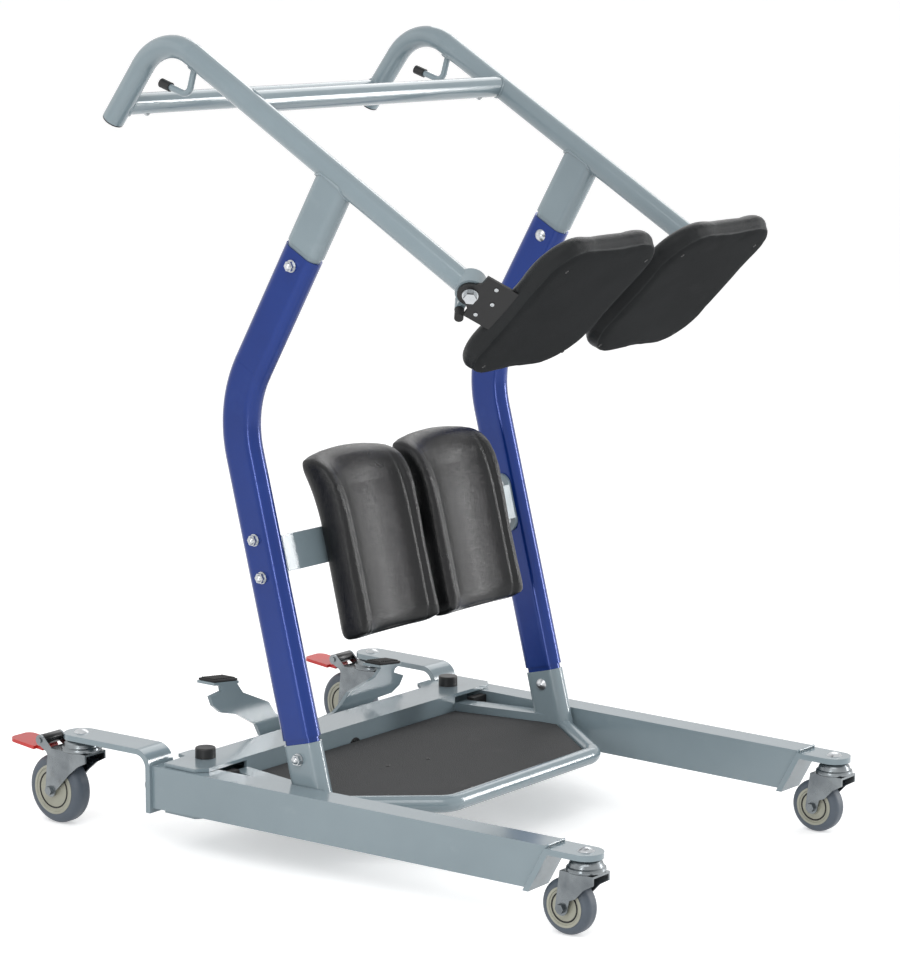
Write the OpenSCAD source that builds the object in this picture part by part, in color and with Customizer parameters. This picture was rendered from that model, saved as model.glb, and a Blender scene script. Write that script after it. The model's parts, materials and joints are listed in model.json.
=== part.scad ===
// Standing transfer aid on casters, in millimetres.
// +X points to the open end where the person steps in, -X to the carer's end, +Y to the left, +Z up.
// The origin lies on the floor under the middle of the bounding box.

/* [Upper frame] */
// Half the spacing of the two handles and posts
side_y = 277; // [268:1:278]
// Outside diameter of the handle tube
tube_d = 31.8; // [30:0.1:36]
// Wall of the round and oval tubes
tube_wall = 2.5; // [1.5:0.1:3.5]
// Seat hinge point on the handle axis, along X
hinge_x = 277; // [260:0.5:300]
// Seat hinge point on the handle axis, above the floor
hinge_z = 810; // [780:1:840]
// Fall of the handle towards the seat, in degrees
handle_slope = 31; // [27:0.5:34]
// Handle length from the seat hinge to the corner of the top bend
handle_run = 613; // [580:1:650]
// Fall of the grip behind the top bend, in degrees
grip_slope = 52.5; // [45:0.5:60]
// Grip length from the corner of the top bend
grip_run = 156; // [140:1:180]
// Centreline radius of the top bend
handle_bend_r = 70; // [55:1:80]
// Diameter of the crossbars between the handles
crossbar_d = 30; // [24:0.5:30]
// Distance from the seat hinge to the front crossbar, along the handle
front_bar_at = 434; // [410:1:470]
// Distance from the corner of the top bend to the rear crossbar, along the grip
rear_bar_at = 130; // [122:1:134]
// Distance from the middle to the joint between crossbar and stub
bar_joint_y = 195; // [180:1:210]

/* [Posts] */
// Depth of the oval post, front to back
post_w = 60; // [52:1:66]
// Thickness of the oval post
post_t = 30; // [26:0.5:30]
// Backward lean of the lower post, in degrees
lower_lean = 14.4; // [12:0.1:17]
// Forward lean of the upper post, in degrees
upper_lean = 30; // [26:0.5:33]
// Centreline radius of the post bend
post_bend_r = 160; // [120:5:200]
// Post axis at the top of the socket, along X
post_foot_x = -9; // [-20:0.5:5]
// Top of the socket above the floor
socket_top_z = 171; // [160:1:185]
// Distance from the seat hinge to the neck, along the handle
neck_at = 254; // [235:1:275]
// Length of the neck from the handle axis to the top of the post
neck_run = 118; // [105:1:135]
// Length of the spigots inside the oval tubes
spigot_len = 60; // [45:1:75]

/* [Shin support] */
// Height of the shin bar's middle above the floor
shin_z = 420; // [400:1:440]
// Height of the shin bar
shin_bar_h = 50; // [40:1:60]
// Thickness of the shin bar
shin_bar_t = 25; // [20:1:30]
// Spacing of the two shin bolts
shin_bolt_pitch = 52; // [44:1:60]
// Width of one shin pad
shin_pad_w = 191; // [170:1:210]
// Height of one shin pad
shin_pad_h = 264; // [220:1:290]
// Thickness of the shin pad at its middle
shin_pad_t = 40; // [28:1:48]
// Height of the side lips above the shin pad's middle
shin_lip = 27; // [10:1:36]
// How far the top of the shin pad rolls back
shin_curl = 19; // [0:1:20]
// Gap between the two shin pads
shin_gap = 6; // [2:0.5:20]

/* [Seat] */
// Tilt of the seat pads, in degrees
seat_tilt = 45; // [42:0.5:48]
// Depth of a seat pad, along its slope
seat_len = 257; // [230:1:270]
// How far the seat pad reaches past the hinge on its lower side
seat_low = 121; // [105:1:130]
// Gap between the two seat pads
seat_gap = 18; // [14:1:40]
// Distance from the hinge point to the seat pad's outer edge
seat_edge = 18; // [16:1:30]
// Distance from the hinge point to the underside of the seat board
seat_drop = 60; // [58:0.5:66]
// Thickness of the seat board
board_t = 8; // [6:0.5:10]
// Thickness of the seat foam at its crown
foam_t = 26; // [18:0.5:27]
// Thickness of the hinge plate
hinge_plate_t = 4; // [3:0.5:5]
// Diameter of the hinge bolt
hinge_bolt_d = 10; // [8:0.5:12]

/* [Base] */
// Leg pivot, along X
pivot_x = -190; // [-200:0.5:-180]
// Half the spacing of the leg pivots
pivot_y = 275; // [265:1:285]
// Leg axis outboard of its pivot
leg_out = 45; // [42:0.5:52]
// Width of the leg tube
leg_w = 40; // [34:0.5:44]
// Height of the leg tube
leg_h = 60; // [50:1:66]
// Underside of the leg tube above the floor
leg_z = 56; // [52:0.5:62]
// Wall of the leg tube
leg_wall = 3; // [2:0.5:4]
// Inward turn of the closed legs, in degrees
toe = 1.65; // [0.5:0.05:2]
// Leg length ahead of the pivot, along its top
leg_front = 622; // [600:1:640]
// Run of the slanted front end of the leg
leg_slant = 33; // [25:1:50]
// Leg length behind the pivot
leg_rear = 42; // [38:0.5:46]
// Front caster ahead of the leg pivot
front_swivel = 669.3; // [664:0.1:690]
// Rear caster behind the leg pivot
rear_swivel = 192; // [182:1:210]
// Thickness of the caster tab and strap
strap_t = 8; // [6:0.5:10]
// Width of the rear strap
strap_w = 50; // [44:1:54]
// Width of the front tab
tab_w = 46; // [38:1:50]
// Depth of the rear crossbeam, front to back
beam_w = 64; // [54:1:70]
// Thickness of the crossbeam's plates
beam_t = 5; // [4:0.5:7]
// Diameter of the leg pivot bolt
pivot_d = 16; // [12:1:18]
// Width of the side brace
brace_w = 28; // [22:1:30]
// Top of the side brace above the floor
brace_z = 107; // [102:0.5:112]
// Diameter of the footplate tube
foot_tube_d = 24; // [20:0.5:28]
// Front of the footplate tube's axis, along X
foot_front_x = 160; // [140:0.5:180]
// Half the straight length of the footplate's front
foot_front_y = 168; // [155:1:190]
// Top of the foot mat above the floor
mat_z = 96; // [92:0.5:99]
// Thickness of the foot mat
mat_t = 4; // [2:0.5:6]
// Thickness of the footplate panel
panel_t = 3; // [2:0.5:5]

/* [Spreader] */
// Rocker shaft above the floor
rocker_z = 88; // [86:0.5:90]
// Tilt of the rocker with the legs closed, in degrees
rocker_rest = 6.5; // [4:0.1:7]
// Spread of each leg, in degrees
leg_spread = 8.5; // [6:0.1:9]
// Distance from the shaft to a crank pin
crank_r = 22; // [20:0.5:23]
// Diameter of the rocker shaft
rocker_d = 20; // [16:0.5:22]
// Diameter of the tie rods
rod_d = 10; // [8:0.5:11]
// Pedal middle from the rocker shaft, along Y
pedal_y = 187; // [176:1:200]
// Pedal top above the rocker shaft
pedal_rise = 100; // [92:1:108]
// Width of a pedal pad, along Y
pedal_w = 52; // [40:1:60]
// Depth of a pedal pad, along X
pedal_l = 33; // [26:1:40]
// Thickness of the pedal arm plate
arm_t = 6; // [4:0.5:8]

/* [Casters] */
// Diameter of the front wheels
front_wheel_d = 75; // [70:1:80]
// Diameter of the rear wheels
rear_wheel_d = 100; // [94:1:104]
// Width of the front tyres
front_tyre_w = 26; // [20:1:28]
// Width of the rear tyres
rear_tyre_w = 30; // [24:1:32]
// Trail of the front casters
front_trail = 25; // [20:0.5:28]
// Trail of the rear casters
rear_trail = 44; // [38:0.5:46]
// Underside of the front tab above the floor
front_mount_z = 105; // [102:0.5:107]
// Underside of the rear strap above the floor
rear_mount_z = 130; // [127:0.5:134]
// Diameter of the caster stems
stem_d = 12; // [10:0.5:14]
// Diameter of the wheel axles
axle_d = 8; // [6:0.5:10]
// Length of the brake pedal behind its pin
brake_len = 63; // [50:1:66]

/* [Clearances] */
// Radial clearance of shafts in their holes
run_gap = 0.05; // [0.02:0.01:0.1]
// Gap beside turning faces
side_gap = 0.5; // [0.3:0.1:0.8]
// Gap between fitted still pieces
fit_gap = 0.1; // [0.05:0.05:0.2]

/* [Hidden] */
$fn = 64;
eps = 0.01;
seam = 0.15;
steel_paint = [0.56, 0.62, 0.64];
post_blue = [0.21, 0.27, 0.56];
pad_black = [0.17, 0.18, 0.19];
black = [0.1, 0.1, 0.1];
zinc = [0.74, 0.75, 0.76];
tyre_grey = [0.36, 0.4, 0.45];
hub_beige = [0.68, 0.68, 0.61];
brake_red = [0.8, 0.2, 0.17];

// Directions and points in the XZ plane of a handle, as [x, z]
function unit2(v) = v / norm(v);
function cross2(a, b) = a[0] * b[1] - a[1] * b[0];
// Point where the line p + t a meets the line q + u b
function meet(p, a, q, b) = p + a * (cross2(q - p, b) / cross2(a, b));

handle_dir = [-cos(handle_slope), sin(handle_slope)];
hinge_pt = [hinge_x, hinge_z];
bend_pt = hinge_pt + handle_dir * handle_run;
grip_dir = [-cos(grip_slope), -sin(grip_slope)];
grip_pt = bend_pt + grip_dir * grip_run;
front_bar_pt = hinge_pt + handle_dir * front_bar_at;
rear_bar_pt = bend_pt + grip_dir * rear_bar_at;
hook_d = 9;
hook_root = bend_pt - handle_dir * 71;
hook_low = hook_root + [-15, -51];
hook_end = hook_low + [-46, 15];
neck_pt = hinge_pt + handle_dir * neck_at;
neck_dir = [-sin(upper_lean), -cos(upper_lean)];
post_top = neck_pt + neck_dir * neck_run;
foot_pt = [post_foot_x, socket_top_z];
lower_dir = [-sin(lower_lean), cos(lower_lean)];
post_corner = meet(post_top, neck_dir, foot_pt, lower_dir);
socket_low_pt = foot_pt - lower_dir * ((socket_top_z - leg_z - 4) / cos(lower_lean));
post_in_w = post_w - 2 * tube_wall;
post_in_t = post_t - 2 * tube_wall;
post_bolt_d = 8;
swage = 7;
post_bolt_in = 20;

// Seat: pad frame has x up the slope, y outboard, z out of the padded face
boss_r = tube_d / 2 + 4;
boss_face = 10;
plate_z0 = boss_face + 0.3;
plate_r = boss_r - 3;
stop_r = 5.5;
stop_reach = 30.2;
stop_turn = 173.5;
// Shoulders of the hinge plate that meet the stop, in use and swung aside by half a turn
stop_low = stop_reach * sin(stop_turn) + stop_r + 0.9;
stop_high = stop_low - 2 * stop_reach * sin(stop_turn);
crown_z = -(seat_drop - board_t - foam_t);
foam_z = -(seat_drop - board_t) + 0.3;
seat_in = side_y - seat_gap / 2;
seat_high = seat_len - seat_low;
bracket_lo = -32;
bracket_hi = 36;
flange_run = 60;
flange_z = -(seat_drop - board_t);

// Base
leg_top = leg_z + leg_h;
plate_top = leg_top + side_gap + beam_t;
plate_low = leg_z - side_gap - beam_t;
beam_x = pivot_x + 11;
beam_front = beam_x + beam_w / 2;
beam_rear = beam_x - beam_w / 2;
fork_y = pivot_y - 38;
block_r = pivot_d / 2 + 9;
strap_bolt_z = leg_z + leg_h / 2 - 4;
lug_x = crank_r * 2 * sin(rocker_rest) / (2 * sin(leg_spread / 2));
rod_x = pivot_x - lug_x;
rod_eye_r = rod_d / 2 + 4;
rod_pin_r = 4;
rod_eye_t = rod_d + 2;
lug_t = 6;
weld_in = 1;
crank_t = 8;
bush_l = 12;
crank_x = rod_x - rod_eye_t / 2 - 1 - crank_t;
arm_x = crank_x - arm_t - fit_gap;
rod_top_z = rocker_z + crank_r * cos(rocker_rest);
rod_low_z = rocker_z - crank_r * cos(rocker_rest);
brace_from = [beam_front, pivot_y - 25];
brace_to = [post_foot_x + (socket_top_z - brace_z) * tan(lower_lean), side_y];
brace_dir = unit2(brace_to - brace_from);
brace_side = [brace_dir[1], -brace_dir[0]];
brace_low = brace_z - 45;
foot_z = mat_z - mat_t - panel_t / 2;
foot_corner = [foot_front_x, foot_front_y];
foot_end = [brace_to[0] + post_w / 2 - 4, side_y - 4];
foot_dir = unit2(foot_end - foot_corner);
foot_side = [-foot_dir[1], foot_dir[0]];
foot_bend_r = 32;

// Casters
fork_t = 3;
fork_gap = 3;

// One piece for the left side, or its mirror image for the right
module on_side(s) {
    if (s > 0) children();
    else mirror([0, 1, 0]) children();
}

// Extrusion from an [x, z] point along an [x, z] direction, with the section's y along Y
module along(p, d, len) {
    translate([p[0], 0, p[1]]) rotate([0, atan2(d[0], d[1]), 0]) linear_extrude(len) children();
}

// Tube with one bend in the XZ plane, through three [x, z] points.
// The first child is the tube's section; the second, a little larger, is its seam at both ends of the bend.
module one_bend(p0, corner, p1, r) {
    d0 = unit2(corner - p0);
    d1 = unit2(p1 - corner);
    turn = acos(d0 * d1);
    cut = r * tan(turn / 2);
    // Side to which the tube turns
    m0 = [d0[1], -d0[0]];
    s = (d1 * m0 > 0) ? 1 : -1;
    c = corner - d0 * cut + m0 * s * r;
    multmatrix([[-s * m0[0], d0[0], 0, c[0]], [0, 0, s, 0], [-s * m0[1], d0[1], 0, c[1]], [0, 0, 0, 1]]) {
        rotate_extrude(angle = turn) translate([r, 0]) children(0);
        translate([r, -seam, 0]) rotate([90, 0, 0])
            linear_extrude(norm(corner - p0) - cut - seam) children(0);
        translate([r, 0.5, 0]) rotate([90, 0, 0]) linear_extrude(1 + seam) children(1);
        rotate([0, 0, turn]) {
            translate([r, seam, 0]) rotate([-90, 0, 0])
                linear_extrude(norm(p1 - corner) - cut - seam) children(0);
            translate([r, -0.5, 0]) rotate([-90, 0, 0]) linear_extrude(1 + seam) children(1);
        }
    }
}

// Round tube with one bend
module round_bend(p0, corner, p1, r, d) {
    one_bend(p0, corner, p1, r) {
        circle(d = d);
        circle(d = d + 2 * seam);
    }
}

// Oval tube with one bend
module oval_bend(p0, corner, p1, r, w, t) {
    one_bend(p0, corner, p1, r) {
        oval(w, t);
        oval(w + 2 * seam, t + 2 * seam);
    }
}

// Oval section: depth w along x, thickness t along y
module oval(w, t) {
    square([w - t, t], center = true);
    for (s = [-1, 1]) translate([s * (w - t) / 2, 0]) circle(d = t);
}

// Flat plate with a round end at the origin and a straight run of length l along +x
module strap_plan(l, w) {
    circle(d = w);
    translate([0, -w / 2]) square([l, w]);
}

// Cylinder along Y, from y0 to y1, at an [x, z] point
module bar_y(p, r, y0, y1) {
    translate([p[0], y0, p[1]]) rotate([-90, 0, 0]) cylinder(r = r, h = y1 - y0);
}

// Low domed bolt head on a face at z = 0
module dome_head(r, h) {
    rotate_extrude() intersection() {
        translate([0, h - (r * r + h * h) / (2 * h)]) circle(r = (r * r + h * h) / (2 * h));
        square([r, h]);
    }
}

// Closed nut with a washer on a face at z = 0
module cap_nut(d) {
    cylinder(r = d * 1.05, h = 1.6);
    translate([0, 0, 1.6 - eps]) cylinder(r = d * 0.92, h = d * 0.7, $fn = 6);
    translate([0, 0, 1.6 + d * 0.7 - 2 * eps]) dome_head(d * 0.66, d * 0.55);
}

// Base frame

// Fork plate at the end of the crossbeam, chamfered at its outer corners
module fork_plan() {
    out = leg_out + leg_w / 2 - 7;
    polygon([[beam_rear, fork_y - 1], [pivot_x - 44, pivot_y - 20], [pivot_x - 44, pivot_y + 8],
             [pivot_x - 27, pivot_y + 12], [pivot_x - 24, pivot_y + out], [pivot_x + 32, pivot_y + out],
             [pivot_x + 45, pivot_y + out - 16],
             [beam_front, fork_y - 1]]);
}

module rear_crossbeam() {
    color(steel_paint) difference() {
        union() {
            difference() {
                translate([beam_rear, -fork_y, plate_low])
                    cube([beam_w, 2 * fork_y, plate_top - plate_low]);
                translate([beam_rear + beam_t, -fork_y - 1, plate_low + beam_t])
                    cube([beam_w - 2 * beam_t, 2 * fork_y + 2, plate_top - plate_low - 2 * beam_t]);
            }
            for (s = [-1, 1]) on_side(s) for (z = [plate_low, plate_top - beam_t])
                translate([0, 0, z]) linear_extrude(beam_t) fork_plan();
        }
        for (s = [-1, 1]) translate([pivot_x, s * pivot_y, 0])
            cylinder(r = pivot_d / 2 + fit_gap, h = plate_top + 1);
        translate([beam_rear - 1, 0, rocker_z]) rotate([0, 90, 0])
            cylinder(r = rocker_d / 2 + 3 + fit_gap, h = beam_w + 2);
    }
}

// Angled brace with the oval socket standing on its front end
module side_frame(s) {
    color(steel_paint) on_side(s) difference() {
        union() {
            translate([0, 0, brace_low]) linear_extrude(brace_z - brace_low) brace_plan(brace_w);
            translate([0, side_y, 0]) along(socket_low_pt, lower_dir, norm(foot_pt - socket_low_pt))
                oval(post_w, post_t);
        }
        translate([0, 0, brace_low + leg_wall]) linear_extrude(brace_z - brace_low - 2 * leg_wall)
            brace_plan(brace_w - 2 * leg_wall);
        translate([0, side_y, 0]) along(foot_pt - lower_dir * (spigot_len + 1), lower_dir, spigot_len + 2)
            oval(post_in_w, post_in_t);
        bar_y(foot_pt - lower_dir * post_bolt_in, post_bolt_d / 2 + fit_gap, side_y - post_t,
            side_y + post_t);
    }
}

// Plan of the brace, from the crossbeam's face to under the socket
module brace_plan(w) {
    a = brace_from + brace_dir * 0;
    polygon([[beam_front, a[1] - w / 2 / brace_dir[0]], brace_to + brace_side * w / 2,
             brace_to - brace_side * w / 2, [beam_front, a[1] + w / 2 / brace_dir[0]]]);
}

// Round tube round the front of the footplate, from socket to socket, in two bent halves
module foot_tube_sweep(d) {
    for (s = [-1, 1]) on_side(s) translate([0, 0, foot_z]) rotate([-90, 0, 0])
        round_bend([foot_front_x, seam], foot_corner, foot_end, foot_bend_r, d);
    translate([foot_front_x, -1, foot_z]) rotate([-90, 0, 0]) cylinder(d = d + 2 * seam, h = 2);
}

module footplate_tube() {
    color(steel_paint) difference() {
        foot_tube_sweep(foot_tube_d);
        foot_tube_sweep(foot_tube_d - 2 * tube_wall);
        for (s = [-1, 1]) on_side(s) translate([0, side_y, 0])
            along(socket_low_pt - lower_dir * 60, lower_dir, 300)
                oval(post_w + 2 * fit_gap, post_t + 2 * fit_gap);
    }
}

// Outline between the crossbeam, the braces and the footplate tube, drawn in by g
module foot_plan(g) {
    tube = foot_tube_d / 2 + g;
    inner = brace_from + brace_side * (brace_w / 2 + g);
    a = meet([beam_front + g, 0], [0, 1], inner, brace_dir);
    b0 = meet([0, side_y - post_t / 2 - g], [1, 0], inner, brace_dir);
    front = foot_corner + foot_side * tube;
    b1 = meet([0, side_y - post_t / 2 - g], [1, 0], front, foot_dir);
    c = meet([foot_front_x - tube, 0], [0, 1], front, foot_dir);
    inset = (foot_bend_r - tube) * tan(acos([0, 1] * foot_dir) / 2);
    half = [a, b0, b1, c + foot_dir * inset, c - [0, inset]];
    polygon(concat(half, [for (i = [4 : -1 : 0]) [half[i][0], -half[i][1]]]));
}

module footplate_panel() {
    color(steel_paint) translate([0, 0, mat_z - mat_t - panel_t]) linear_extrude(panel_t)
        foot_plan(fit_gap);
}

module foot_mat() {
    color(black) translate([0, 0, mat_z - mat_t]) linear_extrude(mat_t) foot_plan(3);
}

// Rubber block on the brace that the closed leg rests against
module leg_stops() {
    stop_x = pivot_x + 50;
    brace_y = brace_from[1] + (stop_x - brace_from[0]) * brace_dir[1] / brace_dir[0];
    y0 = brace_y + brace_w / 2 / brace_dir[0] + fit_gap + 6 * brace_dir[1];
    y1 = pivot_y + leg_out - leg_w / 2 - 56 * sin(toe) - 0.4;
    color(black) for (s = [-1, 1]) on_side(s) translate([stop_x - 6, y0, brace_z - 14])
        cube([12, y1 - y0, 18]);
}

module pivot_bolts() {
    color(zinc) for (s = [-1, 1]) translate([pivot_x, s * pivot_y, 0]) {
        translate([0, 0, plate_low - pivot_d * 0.5])
            cylinder(d = pivot_d, h = plate_top - plate_low + pivot_d * 0.5 + 1);
        translate([0, 0, plate_low - pivot_d * 0.5 - fit_gap])
            cylinder(r = pivot_d * 0.86, h = pivot_d * 0.5, $fn = 6);
        translate([0, 0, plate_top + fit_gap]) cylinder(r = pivot_d * 0.56, h = pivot_d * 0.4);
    }
}

module pivot_caps() {
    cap_r = pivot_d * 0.9;
    color(black) for (s = [-1, 1]) translate([pivot_x, s * pivot_y, plate_top + fit_gap]) difference() {
        rotate_extrude() union() {
            square([cap_r, pivot_d * 0.8]);
            square([cap_r - 2, pivot_d * 0.8 + 2]);
            translate([cap_r - 2, pivot_d * 0.8]) circle(r = 2);
        }
        translate([0, 0, -1]) cylinder(r = pivot_d * 0.56 + fit_gap, h = pivot_d * 0.4 + 1 + 2 * fit_gap);
    }
}

// Upper frame

module post(s) {
    low = foot_pt - lower_dir * spigot_len;
    color(post_blue) on_side(s) translate([0, side_y, 0]) difference() {
        union() {
            oval_bend(foot_pt + lower_dir * swage, post_corner, post_top, post_bend_r, post_w, post_t);
            along(low, lower_dir, spigot_len + swage + 1)
                oval(post_in_w - 2 * fit_gap, post_in_t - 2 * fit_gap);
        }
        along(low - lower_dir, lower_dir, spigot_len + swage + 8)
            oval(post_in_w - 2 * tube_wall, post_in_t - 2 * tube_wall);
        oval_bend(foot_pt + lower_dir * (swage + 6), post_corner, post_top - neck_dir, post_bend_r,
            post_in_w, post_in_t);
        bar_y(foot_pt - lower_dir * post_bolt_in, post_bolt_d / 2 + fit_gap, -post_t, post_t);
        bar_y(post_top + neck_dir * post_bolt_in, post_bolt_d / 2 + fit_gap, -post_t, post_t);
        for (k = [-1, 1]) bar_y(shin_bolt_pt(k), post_bolt_d / 2 + fit_gap, -post_t, post_t);
    }
}

// Shin bolt axis on the lower post, above or below the bar's middle, as [x, z]
function shin_bolt_pt(k) = foot_pt + lower_dir * ((shin_z - socket_top_z) / cos(lower_lean) + k *
    shin_bolt_pitch / 2);

// Places a child in the seat pad's frame on the left side
module seat_place() {
    translate([hinge_x, side_y, hinge_z]) rotate([0, -seat_tilt, 0]) children();
}

// Hinge frame on the left side: z along the bolt, x up the pad's slope, y towards the pad
module hinge_place() {
    seat_place() rotate([-135, 0, 0]) children();
}

// Bent handle tube with neck, crossbar stubs and seat hinge boss
module handle(s) {
    stub_in = crossbar_d / 2 - tube_wall;
    color(steel_paint) on_side(s) difference() {
        union() {
            difference() {
                translate([0, side_y, 0]) round_bend(hinge_pt, bend_pt, grip_pt, handle_bend_r, tube_d);
                hinge_place() translate([-60, -60, boss_face - 1]) cube([120, 120, 60]);
            }
            translate([0, side_y, 0]) {
                along(neck_pt, neck_dir, neck_run - swage) oval(post_w, post_t);
                along(neck_pt, neck_dir, neck_run + spigot_len)
                    oval(post_in_w - 2 * fit_gap, post_in_t - 2 * fit_gap);
            }
            bar_y(front_bar_pt, crossbar_d / 2, bar_joint_y + fit_gap, side_y);
            bar_y(rear_bar_pt, crossbar_d / 2, bar_joint_y + fit_gap, side_y);
            hinge_place() {
                translate([0, 0, -16]) cylinder(r = boss_r, h = 16 + boss_face);
                rotate([0, 0, stop_turn]) translate([stop_reach, 0, -12])
                    cylinder(r = stop_r - 0.5, h = 37);
                rotate([0, 0, stop_turn]) {
                    translate([stop_reach, 0, -12]) cylinder(r = stop_r + 1, h = 12 + boss_face - 0.4);
                    translate([0, -stop_r, -10]) cube([stop_reach, 2 * stop_r, 8 + boss_face]);
                }
            }
        }
        hinge_place() translate([0, 0, -14]) cylinder(r = hinge_bolt_d / 2 + run_gap, h = 60);
        translate([0, side_y, 0]) {
            round_bend(hinge_pt + handle_dir * 34, bend_pt, grip_pt + grip_dir, handle_bend_r,
                       tube_d - 2 * tube_wall);
            along(neck_pt + neck_dir * (tube_d / 2 + 2), neck_dir, neck_run + spigot_len)
                oval(post_in_w - 2 * tube_wall, post_in_t - 2 * tube_wall);
            bar_y(post_top + neck_dir * post_bolt_in, post_bolt_d / 2 + fit_gap, -post_t, post_t);
        }
        for (p = [front_bar_pt, rear_bar_pt]) {
            bar_y(p, stub_in, bar_joint_y - 1, side_y - tube_d / 2 - 2);
            translate([p[0], bar_joint_y + 32, p[1] - crossbar_d])
                cylinder(r = 2.5 + fit_gap, h = crossbar_d);
        }
    }
}

// Bent rods for a bag, their ends cut to the underside of the handles
module bag_hooks() {
    color(steel_paint) for (s = [-1, 1]) on_side(s) translate([0, side_y, 0]) difference() {
        round_bend(hook_root, hook_low, hook_end, 12, hook_d);
        along(hinge_pt + handle_dir * neck_at, handle_dir, handle_run) circle(d = tube_d + 2 * fit_gap);
    }
}

// Caps on the hooks and plugs in the open ends of the grips
module end_caps() {
    d = unit2(hook_end - hook_low);
    bore = tube_d / 2 - tube_wall - fit_gap;
    color(black) for (s = [-1, 1]) on_side(s) translate([0, side_y, 0]) {
        difference() {
            along(hook_end - d * 14, d, 18) circle(r = 6.5);
            along(hook_end - d * 15, d, 15 + fit_gap) circle(r = hook_d / 2 + fit_gap);
        }
        along(grip_pt - grip_dir * 12, grip_dir, 12.5 + fit_gap) circle(r = bore);
        along(grip_pt + grip_dir * fit_gap, grip_dir, 2) circle(r = tube_d / 2 - 0.5);
    }
}

// Crossbar with spigots that slide into the stubs on the handles
module crossbar(p) {
    spigot_r = crossbar_d / 2 - tube_wall - fit_gap;
    color(steel_paint) difference() {
        union() {
            bar_y(p, crossbar_d / 2, -bar_joint_y, bar_joint_y);
            bar_y(p, spigot_r, -bar_joint_y - 48, bar_joint_y + 48);
        }
        bar_y(p, spigot_r - tube_wall, -bar_joint_y - 50, bar_joint_y + 50);
        for (s = [-1, 1]) translate([p[0], s * (bar_joint_y + 32), p[1] - crossbar_d])
            cylinder(r = 2.5 + fit_gap, h = crossbar_d);
    }
}

module front_crossbar() { crossbar(front_bar_pt); }

module rear_crossbar() { crossbar(rear_bar_pt); }

module crossbar_screws() {
    color(zinc) for (p = [front_bar_pt, rear_bar_pt]) for (s = [-1, 1])
        translate([p[0], s * (bar_joint_y + 32), p[1] - crossbar_d / 2 - fit_gap]) {
            cylinder(r = 2.5, h = 12);
            rotate([180, 0, 0]) dome_head(4.5, 3);
        }
}

// Through bolt along Y with a domed head on the inboard face and a closed nut on the outboard face
module through_bolt(p, y_in, y_out) {
    color(zinc) translate([p[0], 0, p[1]]) {
        translate([0, y_in, 0]) rotate([-90, 0, 0]) cylinder(d = post_bolt_d, h = y_out - y_in);
        translate([0, y_in - fit_gap, 0]) rotate([90, 0, 0]) dome_head(9, 5);
        translate([0, y_in - fit_gap - eps, 0]) rotate([-90, 0, 0]) cylinder(d = post_bolt_d, h = 1);
        translate([0, y_out + fit_gap, 0]) rotate([-90, 0, 0]) cap_nut(post_bolt_d);
        translate([0, y_out - 1, 0]) rotate([-90, 0, 0]) cylinder(d = post_bolt_d, h = 2);
    }
}

module post_bolts() {
    for (s = [-1, 1]) on_side(s) {
        through_bolt(foot_pt - lower_dir * post_bolt_in, side_y - post_t / 2, side_y + post_t / 2);
        through_bolt(post_top + neck_dir * post_bolt_in, side_y - post_t / 2, side_y + post_t / 2);
    }
}

// Shin support

end_plate_t = 5;
shin_end_y = side_y - post_t / 2 - fit_gap;
shin_bar_x = 6;
shin_face = shin_bar_x + shin_bar_t / 2 + 0.3;

// Frame on the lower post line: x out of the pad's face, z up the post
module shin_place() {
    p = foot_pt + lower_dir * ((shin_z - socket_top_z) / cos(lower_lean));
    translate([p[0], 0, p[1]]) rotate([0, -lower_lean, 0]) children();
}

module shin_bar() {
    inside = shin_end_y - end_plate_t + eps;
    color(steel_paint) shin_place() difference() {
        union() {
            translate([shin_bar_x - shin_bar_t / 2, -inside, -shin_bar_h / 2])
                cube([shin_bar_t, 2 * inside, shin_bar_h]);
            for (s = [-1, 1]) on_side(s) translate([0, shin_end_y, 0]) rotate([90, 90, 0])
                linear_extrude(end_plate_t) oval(shin_bolt_pitch + 36, 36);
        }
        translate([shin_bar_x - shin_bar_t / 2 + tube_wall, -inside, -shin_bar_h / 2 + tube_wall])
            cube([shin_bar_t - 2 * tube_wall, 2 * inside, shin_bar_h - 2 * tube_wall]);
        for (s = [-1, 1]) on_side(s) for (k = [-1, 1]) translate([0, 0, k * shin_bolt_pitch / 2])
            bar_y([0, 0], 10, shin_end_y - 40, shin_end_y - end_plate_t);
        for (s = [-1, 1]) on_side(s) for (k = [-1, 1]) translate([0, 0, k * shin_bolt_pitch / 2])
            bar_y([0, 0], post_bolt_d / 2 + fit_gap, shin_end_y - 40, shin_end_y + 1);
    }
}

module shin_bolts() {
    for (s = [-1, 1]) on_side(s) for (k = [-1, 1])
        through_bolt(shin_bolt_pt(k), shin_end_y - end_plate_t, side_y + post_t / 2);
}

// Shin pad: stacked sections of a trough with raised lips, rolled back at the top
shin_rows = 20;
shin_cols = 24;
// Height fraction of row i, closer together at both ends
function row_t(i) = (1 - cos(180 * i / shin_rows)) / 2;
// Share of the thickness left at fraction t of an end that is rounded over fraction r
function end_scale(t, r) = (t < r) ? sqrt(max(0, 1 - pow(1 - t / r, 2.4))) : 1;
// Front and back of the pad over its board, at fraction v of the half width, -1 to 1
shin_edge = 14;
function shin_front(v) = shin_edge + (shin_pad_t + shin_lip * pow(abs(v), 5) - shin_edge) * sqrt(max(0,
    1 - pow(abs(v), 9)));
function shin_back(v) = shin_edge * (1 - sqrt(max(0, 1 - pow(abs(v), 8))));
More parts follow.
